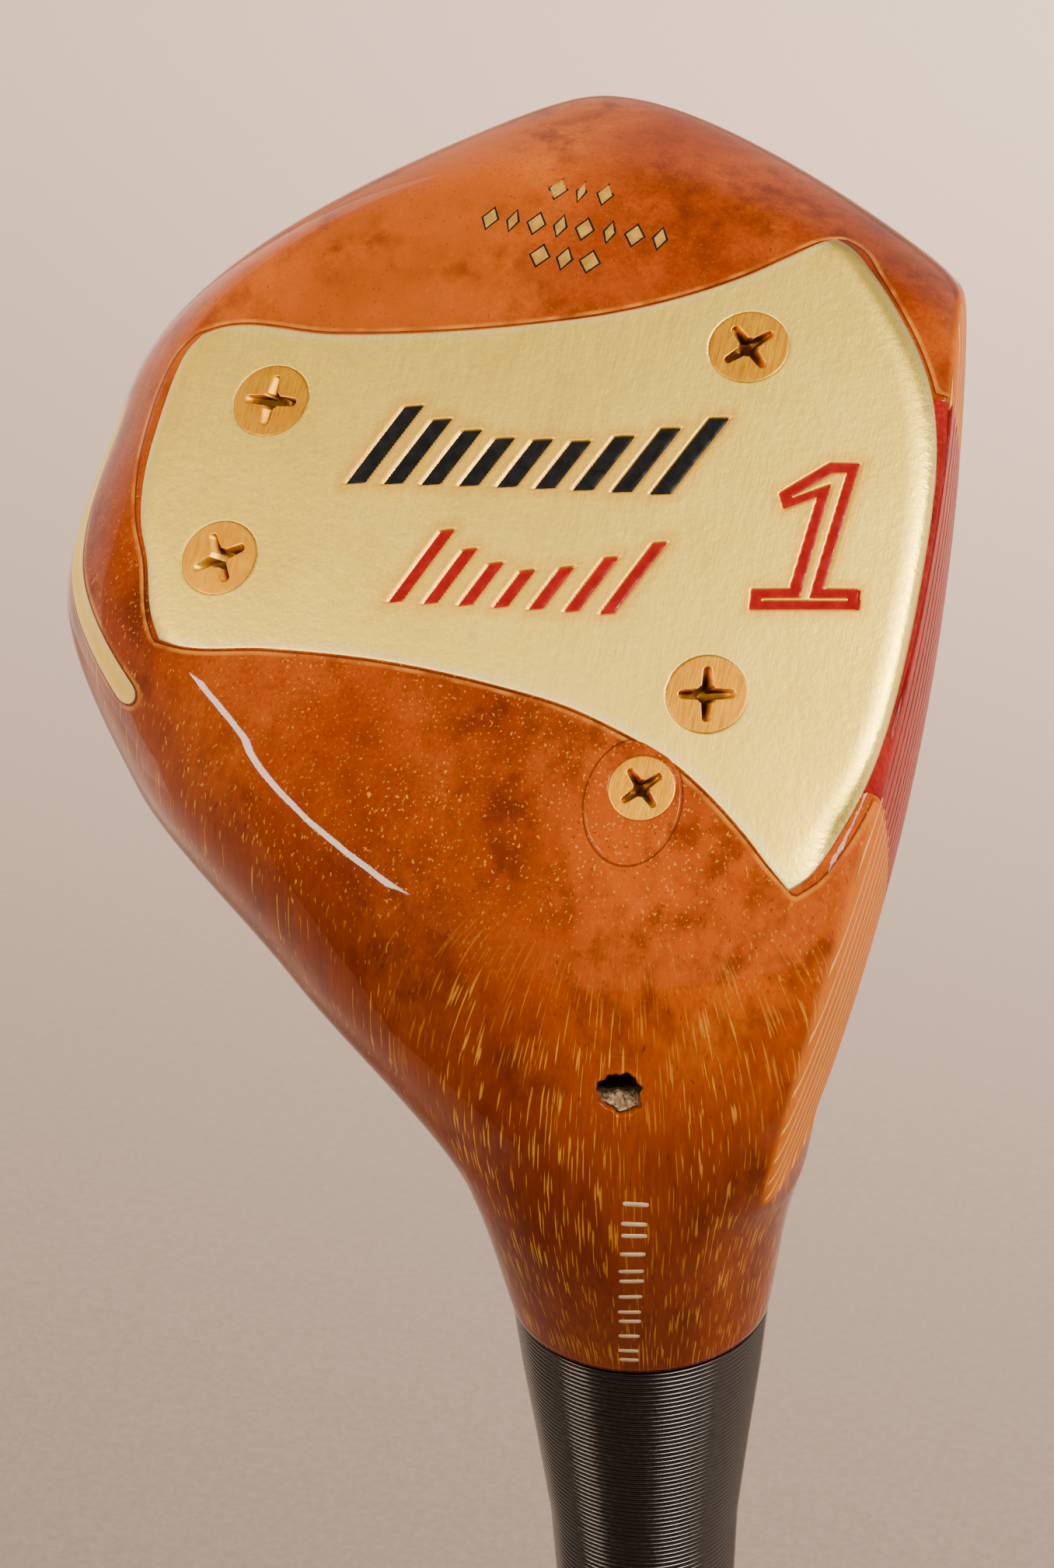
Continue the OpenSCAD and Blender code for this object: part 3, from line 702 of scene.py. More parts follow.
def thread_black():
    """Waxed black winding thread."""
    m = Nodes("thread_waxed")
    strands = m.noise(m.scaled(0.12, 0.12, 0.05), 3, 0.6)
    dust = m.noise(m.scaled(0.7, 0.7, 0.7), 4, 0.7)
    base = m.colours(dust, (0.45, (0.004, 0.003, 0.003)), (0.74, (0.009, 0.008, 0.007)),
                     (0.86, (0.06, 0.05, 0.04)))
    m.set(Base_Color=base, Roughness=m.step(dust, 0.35, 0.7, 0.16, 0.26), Specular_IOR_Level=0.5,
          Specular_Tint=(1.0, 0.86, 0.74), Normal=m.bump(strands, 0.006, 0.2))
    return m.material


def steel(name, colour, rough, streak=0.02):
    """Plated or bare steel with faint drawn lines along the shaft."""
    m = Nodes(name)
    drawn = m.noise(m.scaled(0.5, 0.5, 60), 3, 0.6)
    cloud = m.noise(m.scaled(9, 9, 30), 3)
    base = m.mix(m.step(cloud, 0.4, 0.75, 0.0, 0.4), colour, tuple(c * 0.8 for c in colour))
    m.set(Base_Color=base, Metallic=1.0, Roughness=m.step(drawn, 0.3, 0.7, rough, rough + 0.08),
          Normal=m.bump(drawn, streak, 0.5))
    return m.material


def moulded(name, colour, rough=0.32):
    """Moulded plastic with a fine grain and rubbed patches."""
    m = Nodes(name)
    grain = m.noise(m.scaled(0.35, 0.35, 0.35), 3, 0.6)
    rubbed = m.noise(m.scaled(6, 6, 6), 4, 0.6)
    base = m.mix(m.step(rubbed, 0.5, 0.8, 0.0, 0.5), colour, tuple(c * 1.9 + 0.004 for c in colour))
    m.set(Base_Color=base, Roughness=m.step(rubbed, 0.35, 0.7, rough, rough + 0.14),
          Normal=m.bump(grain, 0.02, 0.5))
    return m.material


def leather():
    """Black grip leather with a pebbled grain and pricked holes along the strip."""
    m = Nodes("leather_grip")
    cells = m.new("TexVoronoi", {"Vector": m.scaled(1.1, 1.1, 1.1), "Scale": 1.0},
                  feature="DISTANCE_TO_EDGE").outputs["Distance"]
    worn = m.noise(m.scaled(14, 14, 22), 4, 0.6)
    pricks = m.attribute("prick")
    base = m.mix(m.step(worn, 0.42, 0.72, 0.0, 0.8), (0.012, 0.009, 0.008), (0.045, 0.032, 0.024))
    base = m.mix(m.step(m.attribute("lap"), 0.5, 1.0, 0.0, 0.5), base, (0.07, 0.05, 0.035))
    # painted shade: the pricked holes are near black
    base = m.mix(pricks, base, (0.002, 0.002, 0.002))
    grain = m.bump(m.step(cells, 0.0, 0.16), 0.10, 0.55)
    m.set(Base_Color=base, Roughness=m.step(worn, 0.35, 0.7, 0.48, 0.36), Normal=grain)
    return m.material


def plain_wood(name, dark, light):
    """Unlacquered dowel wood."""
    m = Nodes(name)
    figure = m.noise(m.scaled(0.5, 0.5, 9), 4, 0.6)
    m.set(Base_Color=m.colours(figure, (0.35, dark), (0.7, light)), Roughness=0.6,
          Normal=m.bump(figure, 0.04, 0.6))
    return m.material


def matt_metal(name, colour):
    """Dull cast metal."""
    m = Nodes(name)
    grain = m.noise(m.scaled(0.8, 0.8, 0.8), 4, 0.7)
    m.set(Base_Color=m.mix(grain, colour, tuple(c * 0.7 for c in colour)), Metallic=1.0, Roughness=0.55,
          Normal=m.bump(grain, 0.05, 0.6))
    return m.material


def tape():
    """Wrapped paper and tape under the leather."""
    m = Nodes("underlisting_tape")
    weave = m.noise(m.scaled(0.6, 0.6, 0.3), 3)
    m.set(Base_Color=m.colours(weave, (0.3, (0.28, 0.23, 0.15)), (0.7, (0.42, 0.36, 0.26))), Roughness=0.8,
          Normal=m.bump(weave, 0.08, 0.7))
    return m.material


WOOD, BRASS, SCREW = persimmon(), plate_brass(), screw_brass()
RED = enamel("enamel_red", (0.30, 0.002, 0.002), (0.42, 0.004, 0.003))
BLACK = enamel("enamel_black", (0.004, 0.004, 0.004), (0.012, 0.011, 0.010))
FIBRE, THREAD_BLACK, LEATHER = fibre(), thread_black(), leather()
CHROME = steel("chrome_shaft", (0.66, 0.66, 0.65), 0.07)
BARE_STEEL = steel("steel_bare", (0.42, 0.40, 0.38), 0.30)
RUSTY = steel("steel_rusty", (0.15, 0.105, 0.07), 0.45)
PLASTIC = moulded("plastic_black", (0.012, 0.012, 0.012))
GOLD_INK = enamel("stamp_gold", (0.42, 0.20, 0.018), (0.72, 0.40, 0.05))
WHITE_INK = enamel("stamp_cream", (0.72, 0.48, 0.24), (0.90, 0.68, 0.40))

# ---------------------------------------------------------------- wooden head
AXIS_POINT = np.array([0, SHAFT_T, 0])
AXIS_DIR = np.array([0, -COS, -SIN])
PIN_POINT = np.array([3.1, -55.4, -11.1])
PIN_R = 2.0
PLATE_LINE = np.vstack([smooth_line(HEEL, 70)[:-1], smooth_line(FRONT, 60)[:-1],
                        smooth_line(TOE, 60)[:0:-1], smooth_line(TAIL, 30)[:0:-1]])
INSERT_QUAD = [(-24.0, -12.5), (25.5, -10.2), (25.5, 33.6), (-24.0, 29.5)]
WEIGHT_T, WEIGHT_U, WEIGHT_HALF, WEIGHT_RUN, WEIGHT_TILT = -7.2, 10.5, 1.5, 15.6, math.radians(6)


def face_place(points):
    """Place on the face: distance up it, distance toeward, and distance in front of its ball."""
    rel = points - FACE_POINT
    return rel @ FACE_UP, rel[..., 1], np.linalg.norm(points - FACE_CENTRE, axis=-1) - FACE_R


def seams(points):
    """How far points on the head lie outside the nearest inlay, negative inside it."""
    x, t, z = points[..., 0], points[..., 1], points[..., 2]
    plate = np.where(z > -7, outside(points[..., :2], PLATE_LINE), 9)
    up, across, front = face_place(points)
    insert = outside(np.stack([up, across], -1), INSERT_QUAD)
    insert = np.where(x > 5, np.maximum(insert, -front - 4.2), 9)
    run, rise = t - WEIGHT_T, -z - WEIGHT_U
    run, rise = (run * math.cos(WEIGHT_TILT) + rise * math.sin(WEIGHT_TILT),
                 rise * math.cos(WEIGHT_TILT) - run * math.sin(WEIGHT_TILT))
    weight = np.hypot(run - np.clip(run, -WEIGHT_RUN, WEIGHT_RUN), rise) - WEIGHT_HALF
    weight = np.where(x < -45, weight, 9)
    rel = points - AXIS_POINT
    off_axis = np.linalg.norm(rel - (rel @ AXIS_DIR)[..., None] * AXIS_DIR, axis=-1)
    plug = np.where(z > -8, off_axis - PLUG_R, 9)
    pin = np.linalg.norm(points - PIN_POINT, axis=-1) - PIN_R - 1.2
    return plate, insert, weight, plug, pin


def wooden_head():
    """The head and its neck as one closed skin, with seats for the inlays, the pin and the thread."""
    sides = 540
    toe = PIVOT_T - CLOSE_T - TOE_RUN * np.cos(np.arange(1, 111) / 110 * np.pi / 2)
    level = np.linspace(KNOTS[0], 0, 64)[1:]
    bend = np.linspace(0, BEND_LEN, 76)[1:]
    neck = np.linspace(BEND_LEN, BEND_LEN + NECK_LEN, 26)[1:]
    s = np.concatenate([toe, level, bend, neck])
    angle = full_turn(sides)
    bare = surface(s[:, None], angle[None])
    plate, insert, weight, plug, pin = seams(bare)
    inside = -np.minimum(np.minimum(plate, insert), np.minimum(weight, plug))
    lift = -3.4 * ramp(inside, 0.7, 2.7) - 3.5 * ramp(-pin, 0.35, 1.1)
    points = surface(s[:, None], angle[None], lift)
    up, _, front = face_place(points)
    front = np.where(s[:, None] > BEND_LEN - 4, -9, front)
    seam = np.minimum(np.minimum(plate, insert), weight)
    # under the whipping the neck steps in and tapers to the shaft
    steps = [(0.15, NECK_R - 0.35), (0.3, NECK_R - 0.7)] + [(0.3 + k, r - THREAD - 0.1) for k, r in WHIP[1:]]
    spin = row(points[-1]) * 1000
    heading = np.arctan2(spin[:, 1], spin[:, 0])
    tail = np.stack([around(r, heading, up_club(WHIP_START + k)) for k, r in steps + [(WHIP_LENGTH, 4.3)]])
    n = len(s)
    cloud = np.vstack([row(points.reshape(-1, 3)), tail.reshape(-1, 3) / 1000, row(points[0].mean(0))[None],
                       tail[-1].mean(0)[None] / 1000])
    rows = n + len(tail)
    faces = grid_faces(rows, sides, wrap=True) + fan(0, sides, rows * sides)
    faces += fan((rows - 1) * sides, sides, rows * sides + 1)
    shell = Shell().add(cloud, faces, seam=padded(np.clip(seam, -3, 9), cloud, 9),
                        ring=padded(np.clip(plug, -3, 9), cloud, 9), face_x=padded(up, cloud, 0),
                        face_z=padded(front, cloud, -9))
    return shell.finish("wooden_head", WOOD, "persimmon", "head_body")


wooden_head()


# ---------------------------------------------------------------- sole plate
def on_sole(flat):
    """Points of the sole's ball over flat (forward, toeward) places."""
    flat = np.asarray(flat, float)
    rel = flat - SOLE_CENTRE[:2]
    z = np.sqrt(SOLE_R**2 - (rel * rel).sum(-1, keepdims=True)) - SOLE_R
    return np.concatenate([flat, z], -1)


def screw_frame(x, t, turn):
    """Centre and axes of a screw driven square into the sole."""
    out = on_sole([x, t]) - SOLE_CENTRE
    out /= np.linalg.norm(out)
    side = np.cross([0, 1, 0], out)
    side /= np.linalg.norm(side)
    other = np.cross(out, side)
    a = math.radians(turn)
    side, other = math.cos(a) * side + math.sin(a) * other, math.cos(a) * other - math.sin(a) * side
    return SOLE_CENTRE + SOLE_R * out, side, other, out


def sole_plate():
    """The plate with a rolled front edge, engraved marks and sunk screw seats."""
    edges = (on_sole(smooth_line(side, 300)) for side in (HEEL, TOE, TAIL, FRONT))
    x, rim, tail, front = patch(*edges, 400, 400)
    x = on_sole(x[..., :2])
    flat = x[..., :2]
    mark = np.minimum(np.minimum(numeral_ink(flat), ink(flat, BLACK_BARS)), ink(flat, RED_BARS))
    roll = -0.98 * np.clip(1 - front / 3.6, 0, 1) ** 2 * (0.3 + 0.7 * ramp(flat[..., 1], -35, -27))
    lift = 0.05 + rounded(rim, 0.4, 0.35) - 0.45 * ramp(mark, 0.10, -0.14)
    for sx, st, turn in PLATE_SCREWS:
        centre = screw_frame(sx, st, turn)[0]
        lift -= 2.9 * ramp(np.linalg.norm(slide(x) - centre, axis=-1), 4.05, 3.5)
    shell = slab(Shell(), x, lift, 3.0, rim=np.minimum(rim, 9), ink=np.clip(mark, 0, 9),
                 roll=roll - 0.35 * np.clip(1 - tail / 3.0, 0, 1) ** 2)
    return shell.finish("sole_plate_engraved", BRASS, "plate_brass", "sole_plate")


def paint(name, material, slot, node, measure, low, high, cell):
    """Enamel filling an engraving, a little under the plate and rounded towards its edge."""
    xs, ts = np.arange(low[0], high[0], cell), np.arange(low[1], high[1], cell)
    flat = np.stack(np.meshgrid(xs, ts, indexing="ij"), -1)
    mark = measure(flat)
    keep = mark < 0.36
    lift = -0.17 + 0.16 * (1 - np.exp(-np.maximum(-mark, 0) / 0.32))
    points = slide(on_sole(flat), lift)
    quads = np.array(grid_faces(len(xs), len(ts)))
    kept = quads[keep.ravel()[quads].all(1)]
    used, faces = np.unique(kept, return_inverse=True)
    shell = Shell().add(row(points.reshape(-1, 3)[used]), faces.reshape(kept.shape).tolist())
    return shell.finish(name, material, slot, node)


sole_plate()
paint("numeral_enamel", RED, "red_enamel", "numeral_paint", numeral_ink, (6.2, -8.8), (18.4, 10), 0.1)
paint("black_bars_enamel", BLACK, "black_enamel", "black_motif_paint", lambda p: ink(p, BLACK_BARS),
      (-37.2, -1.2), (4, 13.5), 0.13)
paint("red_bars_enamel", RED, "red_enamel", "red_motif_paint", lambda p: ink(p, RED_BARS),
      (-29.8, -13.4), (-1, 1.5), 0.13)


# ---------------------------------------------------------------- screws
def cross_recess(xy, radius):
    """Depth of a cross recess: four tapering wings round a deep middle."""
    scale = radius / 4.1
    reach = np.minimum(np.linalg.norm(xy, axis=-1) / scale, 4)
    width = (0.62 - 0.09 * reach) * scale
    arm = 2.45 * scale
    d = np.minimum(
        np.hypot(np.maximum(np.abs(xy[..., 0]) - arm, 0), xy[..., 1]),
        np.hypot(np.maximum(np.abs(xy[..., 1]) - arm, 0), xy[..., 0])) - width
    d = np.minimum(d, np.linalg.norm(xy, axis=-1) - 1.02 * scale)
    floor = (2.3 - 0.62 * reach) * scale
    return np.maximum(floor, 0.3 * scale) * ramp(d, 0.05 * scale, -0.16 * scale)


def screw(shell, x, t, turn, radius, length, proud):
    """A countersunk wood screw: its domed head with a cross recess, then the shank and its thread."""
    centre, side, other, out = screw_frame(x, t, turn)
    edges = radius - np.array([0.28, 0.2, 0.13, 0.07, 0.0])
    radii = np.r_[np.linspace(0.08, radius - 0.4, 62), edges]
    xy, faces = disc(radii, 160)
    far = np.linalg.norm(xy, axis=-1)
    deep = cross_recess(xy, radius)
    rim = radius - far
    lift = proud + rounded(rim, 0.25, 0.22) - deep
    guide = centre + xy[:, :1] * side + xy[:, 1:] * other
    shell.add(row(slide(guide, lift)), faces, deep=deep, rim=rim)
    turns = 7
    taper = radius * 0.58 + 0.3
    run = (length - taper - 4) / turns
    profile = [(radius, proud - 0.2), (radius, -0.35), (radius / 2, -taper)]
    for i in range(turns):
        profile += [(radius / 2 - 0.35, -taper - 0.8 - i * run), (radius / 2, -taper - 0.8 - (i + 0.5) * run)]
    profile += [(radius / 2 - 0.35, -length + 2.6), (0.02, -length)]
    p = np.array(profile)
    body = around(p[:, :1], full_turn(48), p[:, 1:]) @ np.array([side, other, out]) + centre
    shell.add(row(body.reshape(-1, 3)), grid_faces(len(p), 48, wrap=True), deep=0.0, rim=9.0)


screws = Shell()
for place in PLATE_SCREWS:
    screw(screws, *place, 4.1, 19, 0.07)
screws.finish("plate_screws", SCREW, "screw_brass", "sole_plate_screws")


# ---------------------------------------------------------------- heel plug and its screw
def across_axis(xy):
    """Points on the sole at the given offsets across the shaft's axis."""
    over = np.array([0, SIN, -COS])
    start = AXIS_POINT + xy[..., :1] * np.array([1.0, 0, 0]) + xy[..., 1:] * over
    away = -AXIS_DIR
    rel = start - SOLE_CENTRE
    b = rel @ away
    return start + (-b + np.sqrt(b * b - (rel * rel).sum(-1) + SOLE_R**2))[..., None] * away


def heel_plug():
    """The dowel that closes the shaft's bore in the sole, with a seat for its screw."""
    radii = np.r_[np.linspace(0.1, PLUG_R - 0.35, 40), PLUG_R - np.array([0.25, 0.16, 0.08, 0.0])]
    n = 160
    xy, faces = disc(radii, n)
    rim = PLUG_R - np.linalg.norm(xy, axis=-1)
    guide = across_axis(xy)
    centre = screw_frame(*PLUG_SCREW)[0]
    from_screw = np.linalg.norm(slide(guide) - centre, axis=-1)
    lift = 0.03 + rounded(rim, 0.28, 0.35) - 2.6 * ramp(from_screw, 3.35, 2.8)
    shell = Shell().add(row(slide(guide, lift)), faces, ring=rim, seam=9.0, face_z=-9.0)
    edge = across_axis(xy[-n:])
    low = edge + AXIS_DIR * 9
    wall = np.vstack([slide(edge, np.full(n, -0.31)), low, low.mean(0)])
    shell.add(row(wall), grid_faces(2, n, wrap=True) + fan(n, n, 2 * n), ring=0.0, seam=9.0, face_z=-9.0)
    return shell.finish("heel_plug_dowel", WOOD, "plug_wood", "heel_plug")


heel_plug()
lock = Shell()
screw(lock, *PLUG_SCREW, 3.4, 8, 0.06)
lock.finish("heel_lock_screw_head", SCREW, "screw_brass", "heel_lock_screw")


# ---------------------------------------------------------------- insert and back weight
def on_face(up, across):
    """Guide points on the face's ball, for distances up the face and toeward."""
    flat = FACE_POINT + up[..., None] * FACE_UP + across[..., None] * np.array([0, 1.0, 0])
    rel = flat - FACE_CENTRE
    return FACE_CENTRE + rel / np.linalg.norm(rel, axis=-1, keepdims=True) * FACE_R


def face_insert():
    """The fibre insert on the face, with its score lines cut in."""
    corners = np.array(INSERT_QUAD)
    up = np.r_[-24.0, -23.9, -23.8, np.arange(-23.6, 25.1, 0.13), 25.2, 25.35, 25.5]
    share = fine_shares(90, 44)
    v = (up - corners[0, 0]) / (corners[1, 0] - corners[0, 0])
    heel = corners[0, 1] + (corners[1, 1] - corners[0, 1]) * v
    toe = corners[3, 1] + (corners[2, 1] - corners[3, 1]) * v
    across = heel[:, None] + (toe - heel)[:, None] * share[None]
    ups = np.repeat(up[:, None], len(share), 1)
    x = on_face(ups, across)
    sides = np.minimum(across - heel[:, None], toe[:, None] - across)
    rim = np.minimum(sides, np.minimum(ups - up[0], up[-1] - ups))
    place = slide(x)
    on_up, _, front = face_place(place)
    line = np.abs((on_up / SCORE_PITCH + 100.5) % 1 - 0.5) * SCORE_PITCH
    deep = 0.35 * ramp(line, 0.34, 0.22) * ramp(front, -0.42, -0.28)
    lift = 0.02 + rounded(rim, 0.3, 0.3) - deep
    shell = slab(Shell(), x, lift, 4.5, deep=deep)
    return shell.finish("face_insert_scored", FIBRE, "red_fibre", "face_insert")


def back_weight():
    """A round-ended bar along the rear of the skirt, as rings from its rim to its middle line."""
    count = 300
    arc = np.linspace(-math.pi / 2, math.pi / 2, 40)
    end = np.stack([WEIGHT_RUN + WEIGHT_HALF * np.cos(arc), WEIGHT_HALF * np.sin(arc)], -1)
    line = along(np.vstack([end, -end, end[:1]]), np.linspace(0, 1, count + 1))[:-1]
    core = np.stack([np.clip(line[:, 0], -WEIGHT_RUN, WEIGHT_RUN), np.zeros(count)], -1)
    share = 1 - np.r_[0, 0.03, 0.06, 0.1, 0.16, np.linspace(0.24, 1, 12)][::-1]
    flat = core[None] + share[:, None, None] * (line - core)[None]
    c, w = math.cos(WEIGHT_TILT), math.sin(WEIGHT_TILT)
    t, u = WEIGHT_T + c * flat[..., 0] - w * flat[..., 1], WEIGHT_U + w * flat[..., 0] + c * flat[..., 1]
    x = skirt_place(t, u)
    rim = np.repeat(((1 - share) * WEIGHT_HALF)[:, None], count, 1)
    top = slide(x, 0.04 + rounded(rim, 0.25, 0.25))
    wall = np.stack([slide(x[-1], np.full(count, -0.22)), slide(x[-1], np.full(count, -3.4))])
    points = np.vstack([top.reshape(-1, 3), wall.reshape(-1, 3), wall[1].mean(0)[None]])
    n = len(share) * count
    faces = grid_faces(len(share) + 2, count, wrap=True) + fan(n + count, count, n + 2 * count)
    shell = Shell().add(row(points), faces, rim=padded(rim, points, 0), ink=9.0, roll=0.0)
    return shell.finish("back_weight_bar", BRASS, "plate_brass", "back_weight")


face_insert()
back_weight()


# ---------------------------------------------------------------- pin mouth, stamps
def pin_mouth():
    """The ragged mouth of the neck pin's hole, as a small skin over the wood."""
    out = PIN_POINT - np.array([0, SHAFT_T, 0])
    out = out - (out @ AXIS_DIR) * AXIS_DIR
    out /= np.linalg.norm(out)
    side = np.cross(AXIS_DIR, out)
    radii = np.linspace(0.1, 4.3, 84)
    xy, faces = disc(radii, 200)
    far = np.linalg.norm(xy, axis=-1)
    angle = np.arctan2(xy[:, 1], xy[:, 0])
    ragged = PIN_R + 0.16 * np.sin(3 * angle + 1) + 0.12 * np.sin(7 * angle) + 0.07 * np.sin(13 * angle + 2)
    low_side = ramp(-np.sin(angle), -0.2, 0.9)
    wall = ramp(far - ragged, 0.05 + 0.55 * low_side, -0.35)
    fluff = low_side * ramp(far - ragged, 0.3, 0.0) * ramp(xy[:, 1], 0.4, -0.5)
    lift = 0.02 - (2.9 - 2.1 * fluff) * wall - 0.06 * ramp(far, 3.8, 4.3)
    lift += 0.05 * np.exp(-(((far - ragged - 0.25) / 0.2) ** 2))
    guide = PIN_POINT + xy[:, :1] * side - xy[:, 1:] * AXIS_DIR
    pit = np.maximum(ramp(far - ragged, 0.25 + 0.3 * low_side, 0.0), 0)
    shell = Shell().add(row(slide(guide, lift)), faces, pit=pit, fluff=fluff, seam=9.0, ring=9.0, face_z=-9.0)
    return shell.finish("neck_pin_mouth", WOOD, "persimmon")


def stamp(shell, x_dir, y_dir, centre, shape, proud):
    """A small flat painted mark laid on the wood."""
    xy = np.asarray(shape, float)
    n = len(xy)
    flat = np.vstack([xy, xy * 0.86, [[0, 0]]])
    points = centre + flat[:, :1] * x_dir + flat[:, 1:] * y_dir
    lift = np.r_[np.full(n, -0.05), np.full(n + 1, proud)]
    shell.add(row(slide(points, lift)), grid_faces(2, n, wrap=True) + fan(n, n, 2 * n))


def lozenge(width, height):
    """Outline of a diamond."""
    return [(width / 2, 0), (0, height / 2), (-width / 2, 0), (0, -height / 2)]


def box_mark(width, height):
    """Outline of a bar with soft corners."""
    t = full_turn(28)
    p = 5.0
    c, s = np.cos(t), np.sin(t)
    r = (np.abs(c) ** p + np.abs(s) ** p) ** (-1 / p)
    return np.stack([r * c * width / 2, r * s * height / 2], -1)


def toe_stamp():
    """Three rows of plain gold diamonds with a dark edge, in place of the maker's words."""
    shell, shade = Shell(), Shell()
    rows = [(35.3, -21.2, [2.3, 1.0, 1.9]), (30.9, -20.9, [2.0, 1.3, 2.2, 1.4, 2.1, 1.2, 2.2, 1.5]),
            (27.2, -20.7, [2.3, 1.7, 2.3])]
    pitch, along_row, up_row = 2.9, np.array([1.0, -0.02, 0]), np.array([0.05, 1, 0])
    for t, middle, marks in rows:
        for i, width in enumerate(marks):
            x = middle + (i - (len(marks) - 1) / 2) * pitch
            place = np.array([x, t - 0.01 * (x - middle), 0.0])
            stamp(shade, along_row, up_row, place, lozenge(width + 0.7, 3.4), 0.008)
            stamp(shell, along_row, up_row, place, lozenge(width, 2.6), 0.03)
    shade.finish("toe_marks_shade", BLACK, "black_enamel")
    return shell.finish("toe_marks", GOLD_INK, "red_enamel")


def neck_marks():
    """A column of small cream ticks up the neck, in place of its number."""
    shell = Shell()
    side = np.array([1.0, 0, 0])
    for i in range(8):
        centre = AXIS_POINT + AXIS_DIR * (34.2 + i * 3.2) + np.array([5.0 - 0.2 * i, -16, 8.0])
        for bar in ([-0.75, 0.75] if i % 2 else [0.0]):
            stamp(shell, side, AXIS_DIR, centre + AXIS_DIR * bar, box_mark(2.9, 0.62), 0.02)
    return shell.finish("neck_ticks", WHITE_INK, "red_enamel")


pin_mouth()
toe_stamp()
neck_marks()


# ---------------------------------------------------------------- whipping and ferrule
def winding(profile, pitch, start, length, steps=8):
    """Thread wound round a tapering form, one helix with round turns. Heights are from the ground line."""
    sides, inner, crown = 96, 1.4, pitch / 2
    rows = int(length / pitch) * steps + 1
    i, j = np.meshgrid(np.arange(rows), np.arange(sides), indexing="ij")
    k = np.clip((i / steps + j / sides) * pitch, 0, length)
    bulge = np.sqrt(np.maximum(0, 1 - (2 * ((i / steps) % 1) - 1) ** 2))
    r = np.interp(k, *np.array(profile).T) - crown + crown * bulge
    x = around(r, 2 * np.pi * j / sides, up_club(start + k))
    faces = grid_faces(rows, sides, wrap=True, twist=steps)
    points = x.reshape(-1, 3)
    caps = []
    for rank, k_end in ((0, 0.0), (rows - 1, length)):
        ring_in = x[rank].copy()
        scale = (np.interp(k_end, *np.array(profile).T) - inner) / np.hypot(ring_in[:, 0], ring_in[:, 1])
        ring_in[:, :2] *= scale[:, None]
        base = len(points)
        points = np.vstack([points, ring_in])
        caps += [[rank * sides + m, rank * sides + (m + 1) % sides, base + (m + 1) % sides, base + m]
                 for m in range(sides - 1)]
    return points / 1000, faces + caps


points, faces = winding(WHIP, THREAD, WHIP_START, WHIP_LENGTH)
Shell().add(points, faces).finish("whipping_thread", THREAD_BLACK, "thread", "whipping")

def turned(name, node, material, slot, profile):
    """A piece turned about the shaft's axis, from its closed outline of (radius, height) points in mm."""
    p = np.asarray([*profile, profile[0]], float)
    sides = 96
    points = around(p[:, :1], full_turn(sides), p[:, 1:]) / 1000
    return Shell().add(points, grid_faces(len(p), sides, wrap=True)).finish(name, material, slot, node)


TIP_R = 4.25
FERRULE = [(TIP_R, 0), (8.6, 0), (8.85, 0.3), (8.8, 2), (8.45, 5), (7.6, 8.5), (6.6, 12), (5.5, 15),
           (5.25, 15.8), (5.0, 16), (TIP_R, 16)]
turned("ferrule_turned", "neck_ferrule", PLASTIC, "black_plastic",
       [(r, up_club(WHIP_START + WHIP_LENGTH + k)) for r, k in FERRULE])


# ---------------------------------------------------------------- shaft and grip
SHAFT_LOW, SHAFT_TOP, BUTT_R = box_mm("shaft")
STEPS, STEP_RUN, FIRST_STEP, STEP_SLOPE, WALL = 15, 38.0, 310.0, 1.5, 0.7


def shaft():
    """The hollow shaft: it narrows in short steps from the butt to the tip."""
    outer = [(BUTT_R - 0.1, SHAFT_LOW), (BUTT_R, SHAFT_LOW + 0.2)]
    for i in range(STEPS):
        a = BUTT_R + (TIP_R - BUTT_R) * i / STEPS
        b = BUTT_R + (TIP_R - BUTT_R) * (i + 1) / STEPS
        z = FIRST_STEP + i * STEP_RUN
        outer += [(a, z - 9), (a, z), (a - 0.03, z + 0.25), (b + 0.03, z + STEP_SLOPE - 0.25),
                  (b, z + STEP_SLOPE), (b, z + 8)]
    outer += [(TIP_R, SHAFT_TOP)]
    inner = [(r - WALL, z) for r, z in outer][::-1]
    return turned("shaft_stepped", "shaft", CHROME, "chrome", outer + inner)


def grip():
    """A leather strip wound in a spiral: each turn laps the one below, with a row of pricked holes."""
    bottom, top, _ = box_mm("grip_leather")
    pitch, lap, sides, steps = 21.0, 0.5, 144, 40
    grip_end, length, thin, thick, core = 275.0, 270.0, 9.5, 13.0, 8.2
    rows = int((top - bottom) / pitch * steps)
    z, a = np.meshgrid(np.linspace(bottom, top, rows), full_turn(sides), indexing="ij")
    phase = (z / pitch - a / (2 * np.pi)) % 1
    body = thin + (thick - thin) * np.clip((grip_end - z) / length, 0, 1) ** 1.6
    ridge = ramp(phase, 0.0, 0.05) * (1 - 0.72 * ramp(phase, 0.05, 0.9))

    def lines(width, shares):
        """Soft lines of the given width in mm that run along the strip at shares of its width."""
        return sum(np.exp(-(((phase - share) * pitch / width) ** 2)) for share in shares)

    dots = np.cos(a * 26) * 0.5 + 0.5
    prick = ramp(lines(0.75, (0.5, 0.25, 0.75)) * dots, 0.62, 0.80)
    r = body - 0.35 + lap * ridge - 0.35 * lines(0.5, (0, 1)) - 0.25 * prick
    ends = [around(core, a[0], height) for height in (top, bottom)]
    points = np.vstack([around(r, a, z).reshape(-1, 3), *ends]) / 1000
    faces = grid_faces(rows + 2, sides, wrap=True)
    last = (rows + 1) * sides
    faces += [[last + i, last + (i + 1) % sides, (i + 1) % sides, i] for i in range(sides)]
    shell = Shell().add(points, faces, lap=padded(ridge, points, 0), prick=padded(prick, points, 0))
    return shell.finish("grip_wrap", LEATHER, "leather", "grip_leather")


